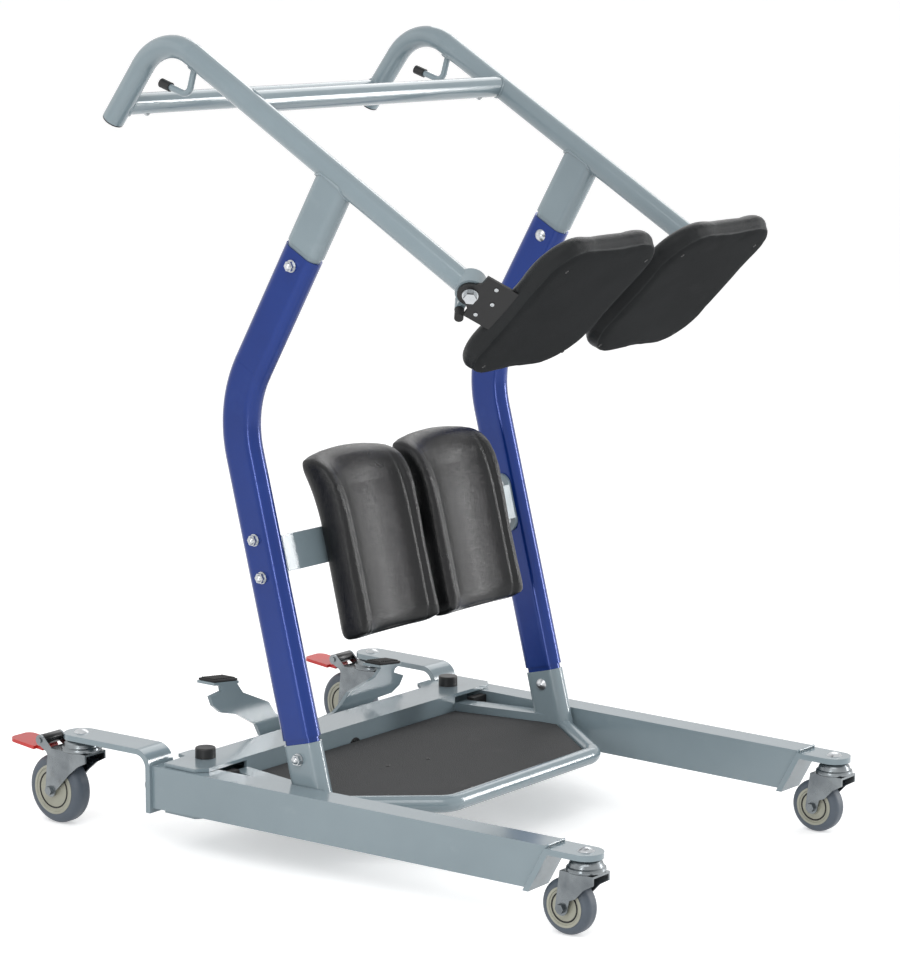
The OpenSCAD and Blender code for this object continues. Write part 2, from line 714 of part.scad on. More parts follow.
// Point j of row i; the front runs across first, then the back returns
function shin_point(i, j) =
    let (t = row_t(i), low = end_scale(t, 0.05), high = end_scale(1 - t, 0.12),
        full = 0.15 + 0.85 * low * high,
         front = j <= shin_cols, k = front ? j : 2 * shin_cols - j, v = -cos(180 * k / shin_cols),
         w = shin_pad_w / 2 * (0.9 + 0.1 * low * high) * (1 - 0.02 * sin(180 * t)),
         roll = shin_curl * pow(max(0, (t - 0.62) / 0.38), 2),
         x = shin_edge + ((front ? shin_front(v) : shin_back(v)) - shin_edge) * full)
    [shin_face + x - roll, w * v, shin_pad_h * (t - 0.53) + 10 * pow(t, 4) * (1 - v * v)];

module shin_pad(s) {
    n = 2 * shin_cols;
    points = [for (i = [0 : shin_rows]) for (j = [0 : n - 1]) shin_point(i, j)];
    sides = [for (i = [0 : shin_rows - 1]) for (j = [0 : n - 1]) each [
        [i * n + j, (i + 1) * n + j, (i + 1) * n + (j + 1) % n],
        [i * n + j, (i + 1) * n + (j + 1) % n, i * n + (j + 1) % n]]];
    ends = [for (e = [0, shin_rows]) for (j = [1 : shin_cols - 1]) each [
        (e == 0) ? [e * n + j, e * n + j + 1, e * n + n - j] : [e * n + j + 1, e * n + j, e * n + n - j],
        (e == 0) ? [e * n + j, e * n + n - j, e * n + (n - j + 1) % n]
                 : [e * n + n - j, e * n + j, e * n + (n - j + 1) % n]]];
    color(pad_black) on_side(s) shin_place() translate([0, (shin_pad_w + shin_gap) / 2, 0])
        polyhedron(points, concat(sides, ends));
}

// Seat

// Corner of the seat outline: position signs in x and y, and radius
seat_x = [-seat_low, seat_high];
seat_y = [-seat_in, -seat_edge];
seat_corners = [[0, 1, 58], [1, 1, 55], [1, 0, 66], [0, 0, 70]];
corner_steps = 8;
side_steps = 4;
side_draw = 2;
// Point m of corner k, turning clockwise seen from the padded face
function corner_point(k, m) =
    let (c = seat_corners[k], r = c[2], turn = 180 - 90 * k - 90 * m / corner_steps,
         cx = seat_x[c[0]] + (c[0] == 0 ? r : -r), cy = seat_y[c[1]] + (c[1] == 0 ? r : -r))
    [cx + r * cos(turn), cy + r * sin(turn)];
// Outline of the seat, with sides drawn in between the corners
seat_loop = [for (k = [0 : 3]) each concat(
    [for (m = [0 : corner_steps]) corner_point(k, m)],
    [for (m = [1 : side_steps - 1])
        let (a = corner_point(k, corner_steps), b = corner_point((k + 1) % 4, 0), f = m / side_steps,
             d = unit2(b - a))
        a + (b - a) * f + [d[1], -d[0]] * side_draw * 4 * f * (1 - f)])];
seat_mid = [(seat_high - seat_low) / 2, -(seat_in + seat_edge) / 2];
function ring(f) = [for (p = seat_loop) seat_mid + (p - seat_mid) * f];

module seat_board(s) {
    color(pad_black) on_side(s) seat_place() difference() {
        translate([0, 0, -seat_drop]) linear_extrude(board_t) polygon(ring(0.965));
        for (x = [-93, 93]) for (y = [seat_edge + 40, seat_in - 34])
            translate([x, -y, -seat_drop - 1]) cylinder(r = 3, h = 5);
    }
}

// Foam: share of the outline and share of the foam height of each ring, from the board to the crown
foam_rings = [[0.965, 0], [0.99, 0.1], [1, 0.3], [0.99, 0.55], [0.965, 0.75], [0.92, 0.87], [0.85, 0.93],
              [0.65, 0.97], [0.35, 0.99]];

module seat_pad(s) {
    n = len(seat_loop);
    rings = len(foam_rings);
    high = crown_z - foam_z;
    points = concat([for (r = foam_rings) for (p = ring(r[0])) [p[0], p[1], foam_z + high * r[1]]],
                    [[seat_mid[0], seat_mid[1], foam_z], [seat_mid[0], seat_mid[1], crown_z]]);
    sides = [for (i = [0 : rings - 2]) for (j = [0 : n - 1]) each [
        [i * n + j, (i + 1) * n + (j + 1) % n, (i + 1) * n + j],
        [i * n + j, i * n + (j + 1) % n, (i + 1) * n + (j + 1) % n]]];
    caps = [for (j = [0 : n - 1]) each [
        [rings * n, (j + 1) % n, j],
        [rings * n + 1, (rings - 1) * n + j, (rings - 1) * n + (j + 1) % n]]];
    color(pad_black) on_side(s) difference() {
        seat_place() polyhedron(points, concat(sides, caps));
        hinge_place() translate([bracket_lo - 2, -40, plate_z0 - 0.5])
            cube([bracket_hi - bracket_lo + 4, 100, hinge_plate_t + 1]);
        seat_place() translate([bracket_lo - 1, -flange_start() - flange_run - 1, flange_z - 1])
            cube([bracket_hi - bracket_lo + 2, flange_run + 3, hinge_plate_t + 1.5]);
    }
}

// Where the hinge plate meets the flange on the board, inboard of the hinge point
function flange_start() = seat_drop - board_t - hinge_plate_t / 2 - sqrt(2) * (plate_z0 + hinge_plate_t /
    2) - 1;

module hinge_plate(s) {
    bend_y = sqrt(2) * (seat_drop - board_t) - plate_z0 - hinge_plate_t - 0.4;
    color(black) on_side(s) difference() {
        union() {
            hinge_place() translate([0, 0, plate_z0]) linear_extrude(hinge_plate_t) union() {
                circle(r = plate_r);
                polygon([[-plate_r + 1, 4], [-21, stop_low], [bracket_lo, stop_low], [bracket_lo, bend_y],
                         [bracket_hi, bend_y], [bracket_hi, stop_high], [22.5, stop_high], [plate_r - 1,
                             -4]]);
            }
            seat_place() translate([bracket_lo + 1, -flange_start() - flange_run, flange_z])
                cube([bracket_hi - bracket_lo - 2, flange_run + 1.6, hinge_plate_t]);
        }
        hinge_place() cylinder(r = hinge_bolt_d / 2 + run_gap, h = 40);
    }
}

module hinge_bolts() {
    head = plate_z0 + hinge_plate_t + 0.3;
    color(zinc) for (s = [-1, 1]) on_side(s) hinge_place() {
        translate([0, 0, -13]) cylinder(d = hinge_bolt_d, h = head + 14);
        translate([0, 0, head]) cylinder(r = hinge_bolt_d * 1.05, h = 2);
        translate([0, 0, head + 1]) cylinder(r = hinge_bolt_d * 0.86, h = hinge_bolt_d * 0.8, $fn = 6);
    }
}

module stop_sleeves() {
    color(black) for (s = [-1, 1]) on_side(s) hinge_place() rotate([0, 0, stop_turn])
        translate([stop_reach, 0, boss_face + fit_gap]) difference() {
            cylinder(r = stop_r + 0.5, h = 18);
            translate([0, 0, -1]) cylinder(r = stop_r - 0.5 + fit_gap, h = 16.5);
        }
}

// Legs

// Places a child in the left leg's frame: x forward along the leg, y outboard, origin on the pivot at the
// floor
module leg_place() {
    translate([pivot_x, pivot_y, 0]) rotate([0, 0, -toe]) children();
}

// Side profile of the leg tube, drawn in by g, its end welded into the front plate
module leg_profile(g) {
    k = leg_slant / leg_h;
    end = weld_in - g * sqrt(1 + k * k);
    polygon([[-leg_rear, leg_z + g], [leg_front - leg_slant + g * k + end, leg_z + g],
             [leg_front - g * k + end, leg_top - g], [-leg_rear, leg_top - g]]);
}

// Slanted closing plate that turns into the level caster tab
module front_plate() {
    tab_z = front_mount_z;
    k = leg_slant / leg_h;
    face = strap_t * sqrt(1 + k * k);
    x0 = leg_front - leg_slant;
    low = leg_z - 4;
    intersection() {
        translate([0, leg_out + tab_w / 2, 0]) rotate([90, 0, 0]) linear_extrude(tab_w)
            polygon([[x0 - 4 * k, low], [x0 - 4 * k + face, low], [x0 + (tab_z - leg_z) * k + face, tab_z],
                     [front_swivel + tab_w, tab_z], [front_swivel + tab_w, tab_z + strap_t],
                     [x0 + (tab_z + strap_t - leg_z) * k, tab_z + strap_t]]);
        translate([front_swivel, leg_out, 0]) rotate([0, 0, 180]) linear_extrude(leg_top + 20)
            strap_plan(front_swivel, tab_w);
    }
}

// The lug stands under the upper rod or over the lower one, whichever pulls this leg
module leg(s) {
    lug_z = (s > 0) ? rod_top_z : rod_low_z;
    lug_turn = -leg_spread / 2 + toe;
    color(steel_paint) on_side(s) leg_place() difference() {
        union() {
            difference() {
                translate([0, leg_out + leg_w / 2, 0]) rotate([90, 0, 0]) linear_extrude(leg_w)
                    leg_profile(0);
                translate([-leg_wall, leg_out + leg_w / 2 - leg_wall, 0]) rotate([90, 0, 0])
                    linear_extrude(leg_w - 2 * leg_wall) leg_profile(leg_wall);
            }
            front_plate();
            translate([0, 0, leg_z]) linear_extrude(leg_h) union() {
                circle(r = block_r);
                translate([-block_r, 0]) square([2 * block_r, leg_out - leg_w / 2 + 1]);
            }
            rotate([0, 0, lug_turn]) {
                translate([0, 0, lug_z - s * (rod_eye_t / 2 + 1 + lug_t / 2) - lug_t / 2])
                    linear_extrude(lug_t)
                    translate([-lug_x, 0]) strap_plan(lug_x, 2 * rod_pin_r + 10);
                translate([-lug_x, 0, lug_z - rod_eye_t / 2 - (s > 0 ? 3 : 0.3)])
                    cylinder(r = rod_pin_r, h = rod_eye_t + 3.3);
            }
        }
        cylinder(r = pivot_d / 2 + run_gap, h = 200);
        translate([front_swivel, leg_out, 0]) cylinder(r = stem_d / 2 + fit_gap, h = 200);
    }
}

// Rear strap: upright plate on the leg's end, bent level to carry the caster
module rear_strap(s) {
    x1 = -leg_rear - fit_gap;
    x0 = x1 - strap_t;
    top = rear_mount_z + strap_t;
    bend = 26;
    low = leg_z - 7;
    color(steel_paint) on_side(s) leg_place() difference() {
        intersection() {
            translate([0, leg_out + strap_w / 2, 0]) rotate([90, 0, 0]) linear_extrude(strap_w) union() {
                translate([x0, low]) square([strap_t, top - bend - low]);
                translate([-rear_swivel - strap_w, rear_mount_z])
                    square([rear_swivel + strap_w + x1 - bend, strap_t]);
                translate([x1 - bend, top - bend]) intersection() {
                    difference() {
                        circle(r = bend);
                        circle(r = bend - strap_t);
                    }
                    square(bend);
                }
            }
            translate([-rear_swivel, leg_out, 0]) linear_extrude(200) strap_plan(rear_swivel, strap_w);
        }
        translate([-rear_swivel, leg_out, 0]) cylinder(r = stem_d / 2 + fit_gap, h = 200);
        translate([x0 - 1, leg_out, strap_bolt_z]) rotate([0, 90, 0])
            cylinder(r = 5 + fit_gap, h = strap_t + 2);
    }
}

module strap_bolt(s) {
    x0 = -leg_rear - fit_gap - strap_t;
    color(zinc) on_side(s) leg_place() translate([x0 - fit_gap, leg_out, strap_bolt_z]) {
        rotate([0, 90, 0]) cylinder(r = 5, h = strap_t + 2 * fit_gap);
        rotate([0, -90, 0]) {
            cylinder(r = 12, h = 3);
            translate([0, 0, 3 - eps]) cylinder(r = 11, h = 10, $fn = 6);
            translate([0, 0, 13 - 2 * eps]) dome_head(8.5, 8);
        }
    }
}

// Low-headed bolts that hold both casters to one leg
module caster_stems(s) {
    color(zinc) on_side(s) leg_place() {
        translate([front_swivel, leg_out, 0]) stem(front_mount_z, fork_top(front_wheel_d));
        translate([-rear_swivel, leg_out, 0]) stem(rear_mount_z, fork_top(rear_wheel_d));
    }
}

module stem(z, top) {
    translate([0, 0, top - fork_t - 1]) cylinder(d = stem_d, h = z + strap_t - top + fork_t + 1);
    translate([0, 0, z + strap_t + fit_gap]) dome_head(stem_d * 0.9, 5);
    translate([0, 0, z + strap_t - 1]) cylinder(d = stem_d, h = 2);
    translate([0, 0, top - fork_t - side_gap - stem_d * 0.45])
        cylinder(r = stem_d * 0.8, h = stem_d * 0.45, $fn = 6);
}

// Casters

// Top of a fork's crown above the floor
function fork_top(d) = d + 12;
function fork_in(w) = w / 2 + fork_gap;

// Places a child at a caster's swivel axis on the floor, with the wheels rolling along X
module caster_place(front) {
    r = front ? front_swivel : -rear_swivel;
    translate([pivot_x + r * cos(toe) + leg_out * sin(toe), pivot_y + leg_out * cos(toe) - r * sin(toe),
        0]) children();
}

// Side plate of a fork, from the crown down and back to the axle
module cheek(d, trail, crown_r) {
    z = fork_top(d);
    foot = axle_d * 1.2;
    difference() {
        union() {
            translate([-trail, d / 2]) circle(r = foot);
            polygon([[-trail - foot, d / 2], [-trail - 3, z], [crown_r, z], [crown_r, z - 12],
                     [crown_r * 0.4, z - 20], [-trail * 0.15, z - 34], [-trail * 0.5, d / 2 + 12],
                     [-trail + foot, d / 2]]);
        }
        translate([-trail, d / 2]) circle(r = axle_d / 2 + fit_gap);
    }
}

// Half section of the swivel race: a rolled rim under a shallow domed cap
module race_profile(r, h) {
    polygon([[0, 0], [r - 2, 0], [r - 0.5, h * 0.08], [r, h * 0.2], [r - 0.6, h * 0.34], [r - 3, h * 0.42],
             [r - 3.4, h * 0.5], [r - 4.5, h * 0.68], [r - 7, h * 0.86], [r - 10, h], [0, h]]);
}

// Stamped fork with its swivel race and through axle
module fork(s, front) {
    d = front ? front_wheel_d : rear_wheel_d;
    w = fork_in(front ? front_tyre_w : rear_tyre_w);
    trail = front ? front_trail : rear_trail;
    mount = front ? front_mount_z : rear_mount_z;
    crown_r = w + fork_t;
    race_r = front ? 26 : 29;
    z = fork_top(d);
    color(zinc) on_side(s) caster_place(front) difference() {
        union() {
            translate([-trail - 3, -crown_r, z - fork_t])
                cube([trail + 3 + race_r * 0.9, 2 * crown_r, fork_t]);
            for (k = [-1, 1]) translate([0, k > 0 ? w + fork_t : -w, 0]) rotate([90, 0, 0])
                linear_extrude(fork_t) cheek(d, trail, race_r * 0.9);
            translate([0, 0, z - eps]) rotate_extrude() race_profile(race_r, mount - z - side_gap);
            translate([-trail, -w - fork_t - 2, d / 2]) rotate([-90, 0, 0])
                cylinder(d = axle_d, h = 2 * (w + fork_t) + 4);
            for (k = [-1, 1]) translate([-trail, k * (w + fork_t - eps), d / 2]) rotate([-90 * k, 0, 0])
                cylinder(r = axle_d * 0.8, h = 5, $fn = 6);
            if (!front) brake_ears(w, z);
        }
        translate([0, 0, z - fork_t - 1]) cylinder(r = stem_d / 2 + run_gap, h = mount);
    }
}

brake_pin_r = 4;
brake_back = 63;
brake_drop = 12;
brake_tilt = 6;
function brake_z() = fork_top(rear_wheel_d) + 8;

// Ears at the back of a rear fork with the brake's cross pin
module brake_ears(w, z) {
    for (k = [-1, 1]) translate([0, k > 0 ? w + fork_t : -w, 0]) rotate([90, 0, 0]) linear_extrude(fork_t) {
        translate([-brake_back, brake_z()]) circle(r = 8);
        polygon([[-brake_back - 7, brake_z() - 4], [-brake_back + 4, brake_z() + 7], [-brake_back + 20,
            z], [-20, z],
                 [-20, z - 16], [-brake_back + 18, z - 16], [-brake_back + 12, z - 6]]);
    }
    bar_y([-brake_back, brake_z()], brake_pin_r, -w - fork_t - 2, w + fork_t + 2);
}

// Brake pedal: sleeve on the cross pin, tread hung below and behind it, and a shoe towards the tyre
module brake_pedal(s) {
    w = fork_in(rear_tyre_w) - side_gap;
    color(brake_red) on_side(s) caster_place(false) translate([-brake_back, 0, brake_z()]) difference() {
        union() {
            bar_y([0, 0], brake_pin_r + 3.5, -w, w);
            translate([-7, -w + 2, -brake_drop - 3]) cube([6, 2 * w - 4, brake_drop + 3]);
            translate([0, 0, -brake_drop - 4]) rotate([0, brake_tilt, 0]) linear_extrude(5) union() {
                translate([-brake_len + 12, -22]) square([brake_len - 24, 44]);
                translate([-20, -w + 2]) square([20, 2 * w - 4]);
                for (k = [-1, 1]) translate([-brake_len + 12, k * 10]) circle(r = 12);
                translate([-brake_len, -10]) square([14, 20]);
            }
        }
        bar_y([0, 0], brake_pin_r + run_gap, -50, 50);
    }
}

// Tyre with rounded shoulders on its hub
module tyre(s, front) {
    d = front ? front_wheel_d : rear_wheel_d;
    w = front ? front_tyre_w : rear_tyre_w;
    trail = front ? front_trail : rear_trail;
    round_r = w * 0.36;
    color(tyre_grey) on_side(s) caster_place(front) translate([-trail, 0, d / 2]) rotate([90, 0, 0])
        rotate_extrude() intersection() {
            union() {
                translate([0, -w / 2]) square([d / 2 - round_r, w]);
                translate([0, -w / 2 + round_r]) square([d / 2, w - 2 * round_r]);
                for (k = [-1, 1]) translate([d / 2 - round_r, k * (w / 2 - round_r)]) circle(r = round_r);
            }
            translate([hub_r(d), -w]) square([d, 2 * w]);
        }
}

function hub_r(d) = d * 0.36;

module hub(s, front) {
    d = front ? front_wheel_d : rear_wheel_d;
    w = (front ? front_tyre_w : rear_tyre_w) + 1;
    trail = front ? front_trail : rear_trail;
    r = hub_r(d) - fit_gap;
    color(hub_beige) on_side(s) caster_place(front) translate([-trail, 0, d / 2]) rotate([90, 0, 0])
        rotate_extrude() polygon([[axle_d / 2 + run_gap, -w / 2 - 1], [axle_d, -w / 2 - 1], [axle_d,
            -w / 2 + 1.5],
            [r - 4, -w / 2 + 1.5], [r - 3, -w / 2], [r, -w / 2], [r, w / 2], [r - 3, w / 2], [r - 4,
                w / 2 - 1.5],
            [axle_d, w / 2 - 1.5], [axle_d, w / 2 + 1], [axle_d / 2 + run_gap, w / 2 + 1]]);
}

// Spreader

// Frame on the rocker shaft, tilted as it rests with the legs closed
module rocker_place() {
    translate([0, 0, rocker_z]) rotate([-rocker_rest, 0, 0]) children();
}

module rocker_bushes() {
    color(black) for (x = [beam_rear, beam_front - bush_l]) translate([x, 0, rocker_z]) rotate([0, 90, 0])
        difference() {
        cylinder(r = rocker_d / 2 + 3, h = bush_l);
        translate([0, 0, -1]) cylinder(r = rocker_d / 2 + run_gap, h = bush_l + 2);
    }
}

// Shaft through the crossbeam with the crank plate, its two pins and a collar in front
module rocker_shaft() {
    color(zinc) rocker_place() {
        translate([arm_x, 0, 0]) rotate([0, 90, 0]) cylinder(d = rocker_d, h = beam_front - arm_x - 1);
        translate([beam_rear + bush_l + side_gap, 0, 0]) rotate([0, 90, 0])
            cylinder(r = rocker_d / 2 + 4, h = 8);
        translate([crank_x + crank_t / 2, 0, 0]) rotate([90, 0, 90]) linear_extrude(crank_t, center = true)
            rotate(90)
            oval(2 * crank_r + 16, 16);
        for (k = [-1, 1]) translate([crank_x, 0, k * crank_r]) rotate([0, 90, 0])
            cylinder(r = rod_pin_r, h = crank_t + rod_eye_t + 3);
    }
}

// Stamped arm from the shaft, out and up to its foot tab
module pedal_arm(s) {
    tab_z = pedal_rise - 9;
    color(steel_paint) rocker_place() on_side(s) union() {
        translate([arm_x, 0, 0]) rotate([90, 0, 90]) linear_extrude(arm_t) difference() {
            polygon([[side_gap, -14], [70, -8], [104, 10], [116, 27], [160, 46],
                     [194, 51], [212, 62], [220, 76], [196, 82], [198, 88],
                     [pedal_y + pedal_w / 2 - 6, tab_z + 1],
                     [pedal_y - pedal_w / 2 + 4, tab_z + 1], [150, 77], [92, 59], [78, 44], [60, 31],
                     [side_gap, 18]]);
            circle(r = rocker_d / 2 + fit_gap);
        }
        translate([arm_x - pedal_l + arm_t, pedal_y - pedal_w / 2, tab_z]) cube([pedal_l, pedal_w, 4]);
    }
}

module pedal_pads() {
    tab_z = pedal_rise - 9;
    color(black) rocker_place() for (s = [-1, 1]) on_side(s)
        translate([arm_x - pedal_l + arm_t + 1, pedal_y - pedal_w / 2 + 1, tab_z + 4 + fit_gap])
            cube([pedal_l - 2, pedal_w - 2, 5]);
}

// Tie rod from a crank pin to a leg lug, level at every pedal position
module tie_rod(s) {
    z = (s > 0) ? rod_top_z : rod_low_z;
    crank_y = crank_r * sin(rocker_rest);
    lug_y = pivot_y + lug_x * sin(leg_spread / 2);
    color(steel_paint) on_side(s) translate([rod_x, 0, z]) difference() {
        union() {
            translate([0, crank_y, 0]) rotate([-90, 0, 0]) cylinder(d = rod_d, h = lug_y - crank_y);
            translate([-rod_eye_t / 2, crank_y, 0]) rotate([0, 90, 0])
                cylinder(r = rod_eye_r, h = rod_eye_t);
            translate([0, lug_y, -rod_eye_t / 2]) cylinder(r = rod_eye_r, h = rod_eye_t);
        }
        translate([-50, crank_y, 0]) rotate([0, 90, 0]) cylinder(r = rod_pin_r + run_gap, h = 100);
        translate([0, lug_y, -50]) cylinder(r = rod_pin_r + 0.4, h = 100);
    }
}

rear_crossbeam();
side_frame(-1);  // side_frame_right
side_frame(1);  // side_frame_left
footplate_tube();
footplate_panel();
foot_mat();
leg_stops();
pivot_bolts();
pivot_caps();
post(-1);  // post_right
post(1);  // post_left
handle(-1);  // handle_right
handle(1);  // handle_left
bag_hooks();
end_caps();
front_crossbar();
rear_crossbar();
crossbar_screws();
post_bolts();
shin_bar();
shin_bolts();
shin_pad(-1);  // shin_pad_right
shin_pad(1);  // shin_pad_left
hinge_bolts();
stop_sleeves();
rocker_bushes();
hinge_plate(-1);  // hinge_plate_right
hinge_plate(1);  // hinge_plate_left
seat_board(-1);  // seat_board_right
seat_board(1);  // seat_board_left
seat_pad(-1);  // seat_pad_right
seat_pad(1);  // seat_pad_left
rocker_shaft();
pedal_arm(-1);  // pedal_arm_right
pedal_arm(1);  // pedal_arm_left
pedal_pads();
tie_rod(-1);  // tie_rod_right
tie_rod(1);  // tie_rod_left
leg(-1);  // leg_right
leg(1);  // leg_left
rear_strap(-1);  // rear_strap_right
rear_strap(1);  // rear_strap_left
strap_bolt(-1);  // strap_bolt_right
strap_bolt(1);  // strap_bolt_left
caster_stems(-1);  // caster_stems_right
caster_stems(1);  // caster_stems_left
fork(-1, true);  // front_fork_right
fork(1, true);  // front_fork_left
tyre(-1, true);  // front_tyre_right
tyre(1, true);  // front_tyre_left
hub(-1, true);  // front_hub_right
hub(1, true);  // front_hub_left
fork(-1, false);  // rear_fork_right
fork(1, false);  // rear_fork_left
tyre(-1, false);  // rear_tyre_right
tyre(1, false);  // rear_tyre_left
hub(-1, false);  // rear_hub_right
hub(1, false);  // rear_hub_left
brake_pedal(-1);  // brake_pedal_right
brake_pedal(1);  // brake_pedal_left
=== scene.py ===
"""Looks of a standing transfer aid on casters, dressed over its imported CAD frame."""

import json
import logging
import math
from collections.abc import Callable
from dataclasses import dataclass, field
from enum import Enum

import bpy
from mathutils import Matrix, Vector


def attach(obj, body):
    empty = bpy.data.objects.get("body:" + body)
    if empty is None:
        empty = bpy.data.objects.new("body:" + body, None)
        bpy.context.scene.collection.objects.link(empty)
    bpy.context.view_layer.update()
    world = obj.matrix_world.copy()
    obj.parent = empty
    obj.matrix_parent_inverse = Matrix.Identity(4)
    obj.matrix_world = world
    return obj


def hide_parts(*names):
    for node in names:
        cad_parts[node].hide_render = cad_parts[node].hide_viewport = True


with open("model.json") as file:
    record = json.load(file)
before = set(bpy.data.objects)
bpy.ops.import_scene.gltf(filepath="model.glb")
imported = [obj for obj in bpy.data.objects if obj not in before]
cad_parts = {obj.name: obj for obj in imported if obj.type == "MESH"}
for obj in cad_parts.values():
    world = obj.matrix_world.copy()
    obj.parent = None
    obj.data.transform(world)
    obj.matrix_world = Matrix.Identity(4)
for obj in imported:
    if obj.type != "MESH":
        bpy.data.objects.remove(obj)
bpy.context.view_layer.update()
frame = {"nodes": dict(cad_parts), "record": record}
LOG = logging.getLogger("transfer_aid")

SIDES: dict[str, float] = {"right": -1.0, "left": 1.0}
SIDE_Y = 0.277
HINGE = (0.277, SIDE_Y, 0.810)
SEAT_TILT = 45.0

# Edge angles in degrees: below them shading is smooth, above the last one edges are rounded
PART_ANGLE, SKIN_ANGLE, BEAD_ANGLE, SHARP_ANGLE = 35.0, 60.0, 80.0, 40.0
# Least share of a face's normal along an axis for the face to count as square to it
SQUARE = 0.9
# Sockets of a colour mix node
MIX_FACTOR, MIX_FIRST, MIX_SECOND, MIX_RESULT = 0, 6, 7, 2


class Surface(Enum):
    """Which shared field a finish takes its variation from."""

    COAT = "coat"
    GRAIN = "grain"
    BRUSH = "brush"


def linear(colour: tuple[float, float, float]) -> tuple[float, float, float, float]:
    """Turn a display colour into the linear values that shaders take.

    Args:
        colour: Red, green and blue from 0 to 1, as seen on a display.

    Returns:
        The linear colour with full alpha.
    """
    def one(v: float) -> float:
        """One channel of the display curve, undone."""
        return v / 12.92 if v <= 0.04045 else ((v + 0.055) / 1.055) ** 2.4
    return (one(colour[0]), one(colour[1]), one(colour[2]), 1.0)


def ramp(value: float, start: float, span: float) -> float:
    """Share of a span that a value has passed, from 0 before its start to 1 after its end."""
    return min(1.0, max(0.0, (value - start) / span))


def deselect() -> None:
    """Leave object mode with nothing selected."""
    if bpy.context.object and bpy.context.object.mode != "OBJECT":
        bpy.ops.object.mode_set(mode="OBJECT")
    bpy.ops.object.select_all(action="DESELECT")


def take(piece: bpy.types.Object) -> None:
    """Select one piece alone and make it the active one."""
    deselect()
    piece.select_set(True)
    bpy.context.view_layer.objects.active = piece


def settle(piece: bpy.types.Object) -> None:
    """Put a piece's place, turn and scale into its mesh."""
    take(piece)
    bpy.ops.object.transform_apply(location=True, rotation=True, scale=True)


def apply_all(piece: bpy.types.Object) -> None:
    """Apply every modifier of a piece in order."""
    take(piece)
    for modifier in list(piece.modifiers):
        bpy.ops.object.modifier_apply(modifier=modifier.name)


def join(pieces: list[bpy.types.Object], name: str) -> bpy.types.Object:
    """Join pieces into one named object.

    Args:
        pieces: Objects with their places already in their meshes.
        name: Name of the joined piece.

    Returns:
        The joined piece.
    """
    deselect()
    for piece in pieces:
        piece.select_set(True)
    bpy.context.view_layer.objects.active = pieces[0]
    if len(pieces) > 1:
        bpy.ops.object.join()
    whole = bpy.context.object
    whole.name = whole.data.name = name
    return whole


def turn_out(piece: bpy.types.Object, merge: float = 1e-6) -> None:
    """Merge a piece's doubles and point its faces outwards."""
    take(piece)
    bpy.ops.object.mode_set(mode="EDIT")
    bpy.ops.mesh.select_all(action="SELECT")
    bpy.ops.mesh.remove_doubles(threshold=merge)
    bpy.ops.mesh.normals_make_consistent(inside=False)
    bpy.ops.object.mode_set(mode="OBJECT")


def smooth(piece: bpy.types.Object, angle: float = PART_ANGLE) -> None:
    """Shade a piece smooth below the given edge angle."""
    take(piece)
    bpy.ops.object.shade_smooth_by_angle(angle=math.radians(angle))


def bevel(piece: bpy.types.Object, width: float, segments: int = 2) -> None:
    """Round a piece's edges and apply the rounding."""
    modifier = piece.modifiers.new("Round", "BEVEL")
    modifier.width = width
    modifier.segments = segments
    modifier.limit_method = "ANGLE"
    modifier.angle_limit = math.radians(SHARP_ANGLE)
    apply_all(piece)


def mirrored(piece: bpy.types.Object, name: str) -> bpy.types.Object:
    """Copy a piece to the other side of the middle plane.

    Args:
        piece: Finished piece with its place in its mesh.
        name: Name of the copy.

    Returns:
        The copy, with its own mesh and its faces outwards.
    """
    take(piece)
    bpy.ops.object.duplicate()
    copy = bpy.context.object
    copy.name = copy.data.name = name
    copy.scale = (1.0, -1.0, 1.0)
    settle(copy)
    turn_out(copy)
    return copy


def both(left: bpy.types.Object, stem: str) -> tuple[tuple[bpy.types.Object, str], ...]:
    """Mirror a left piece, and give both pieces with the names of their sides."""
    return (left, "left"), (mirrored(left, f"{stem}_right"), "right")


def edit_faces(piece: bpy.types.Object, wanted: Callable[[Vector], bool]) -> None:
    """Enter edit mode with only the faces selected whose normals are wanted."""
    take(piece)
    bpy.ops.object.mode_set(mode="EDIT")
    bpy.ops.mesh.select_mode(type="FACE")
    bpy.ops.mesh.select_all(action="DESELECT")
    bpy.ops.object.mode_set(mode="OBJECT")
    for face in piece.data.polygons:
        face.select = wanted(face.normal)
    bpy.ops.object.mode_set(mode="EDIT")


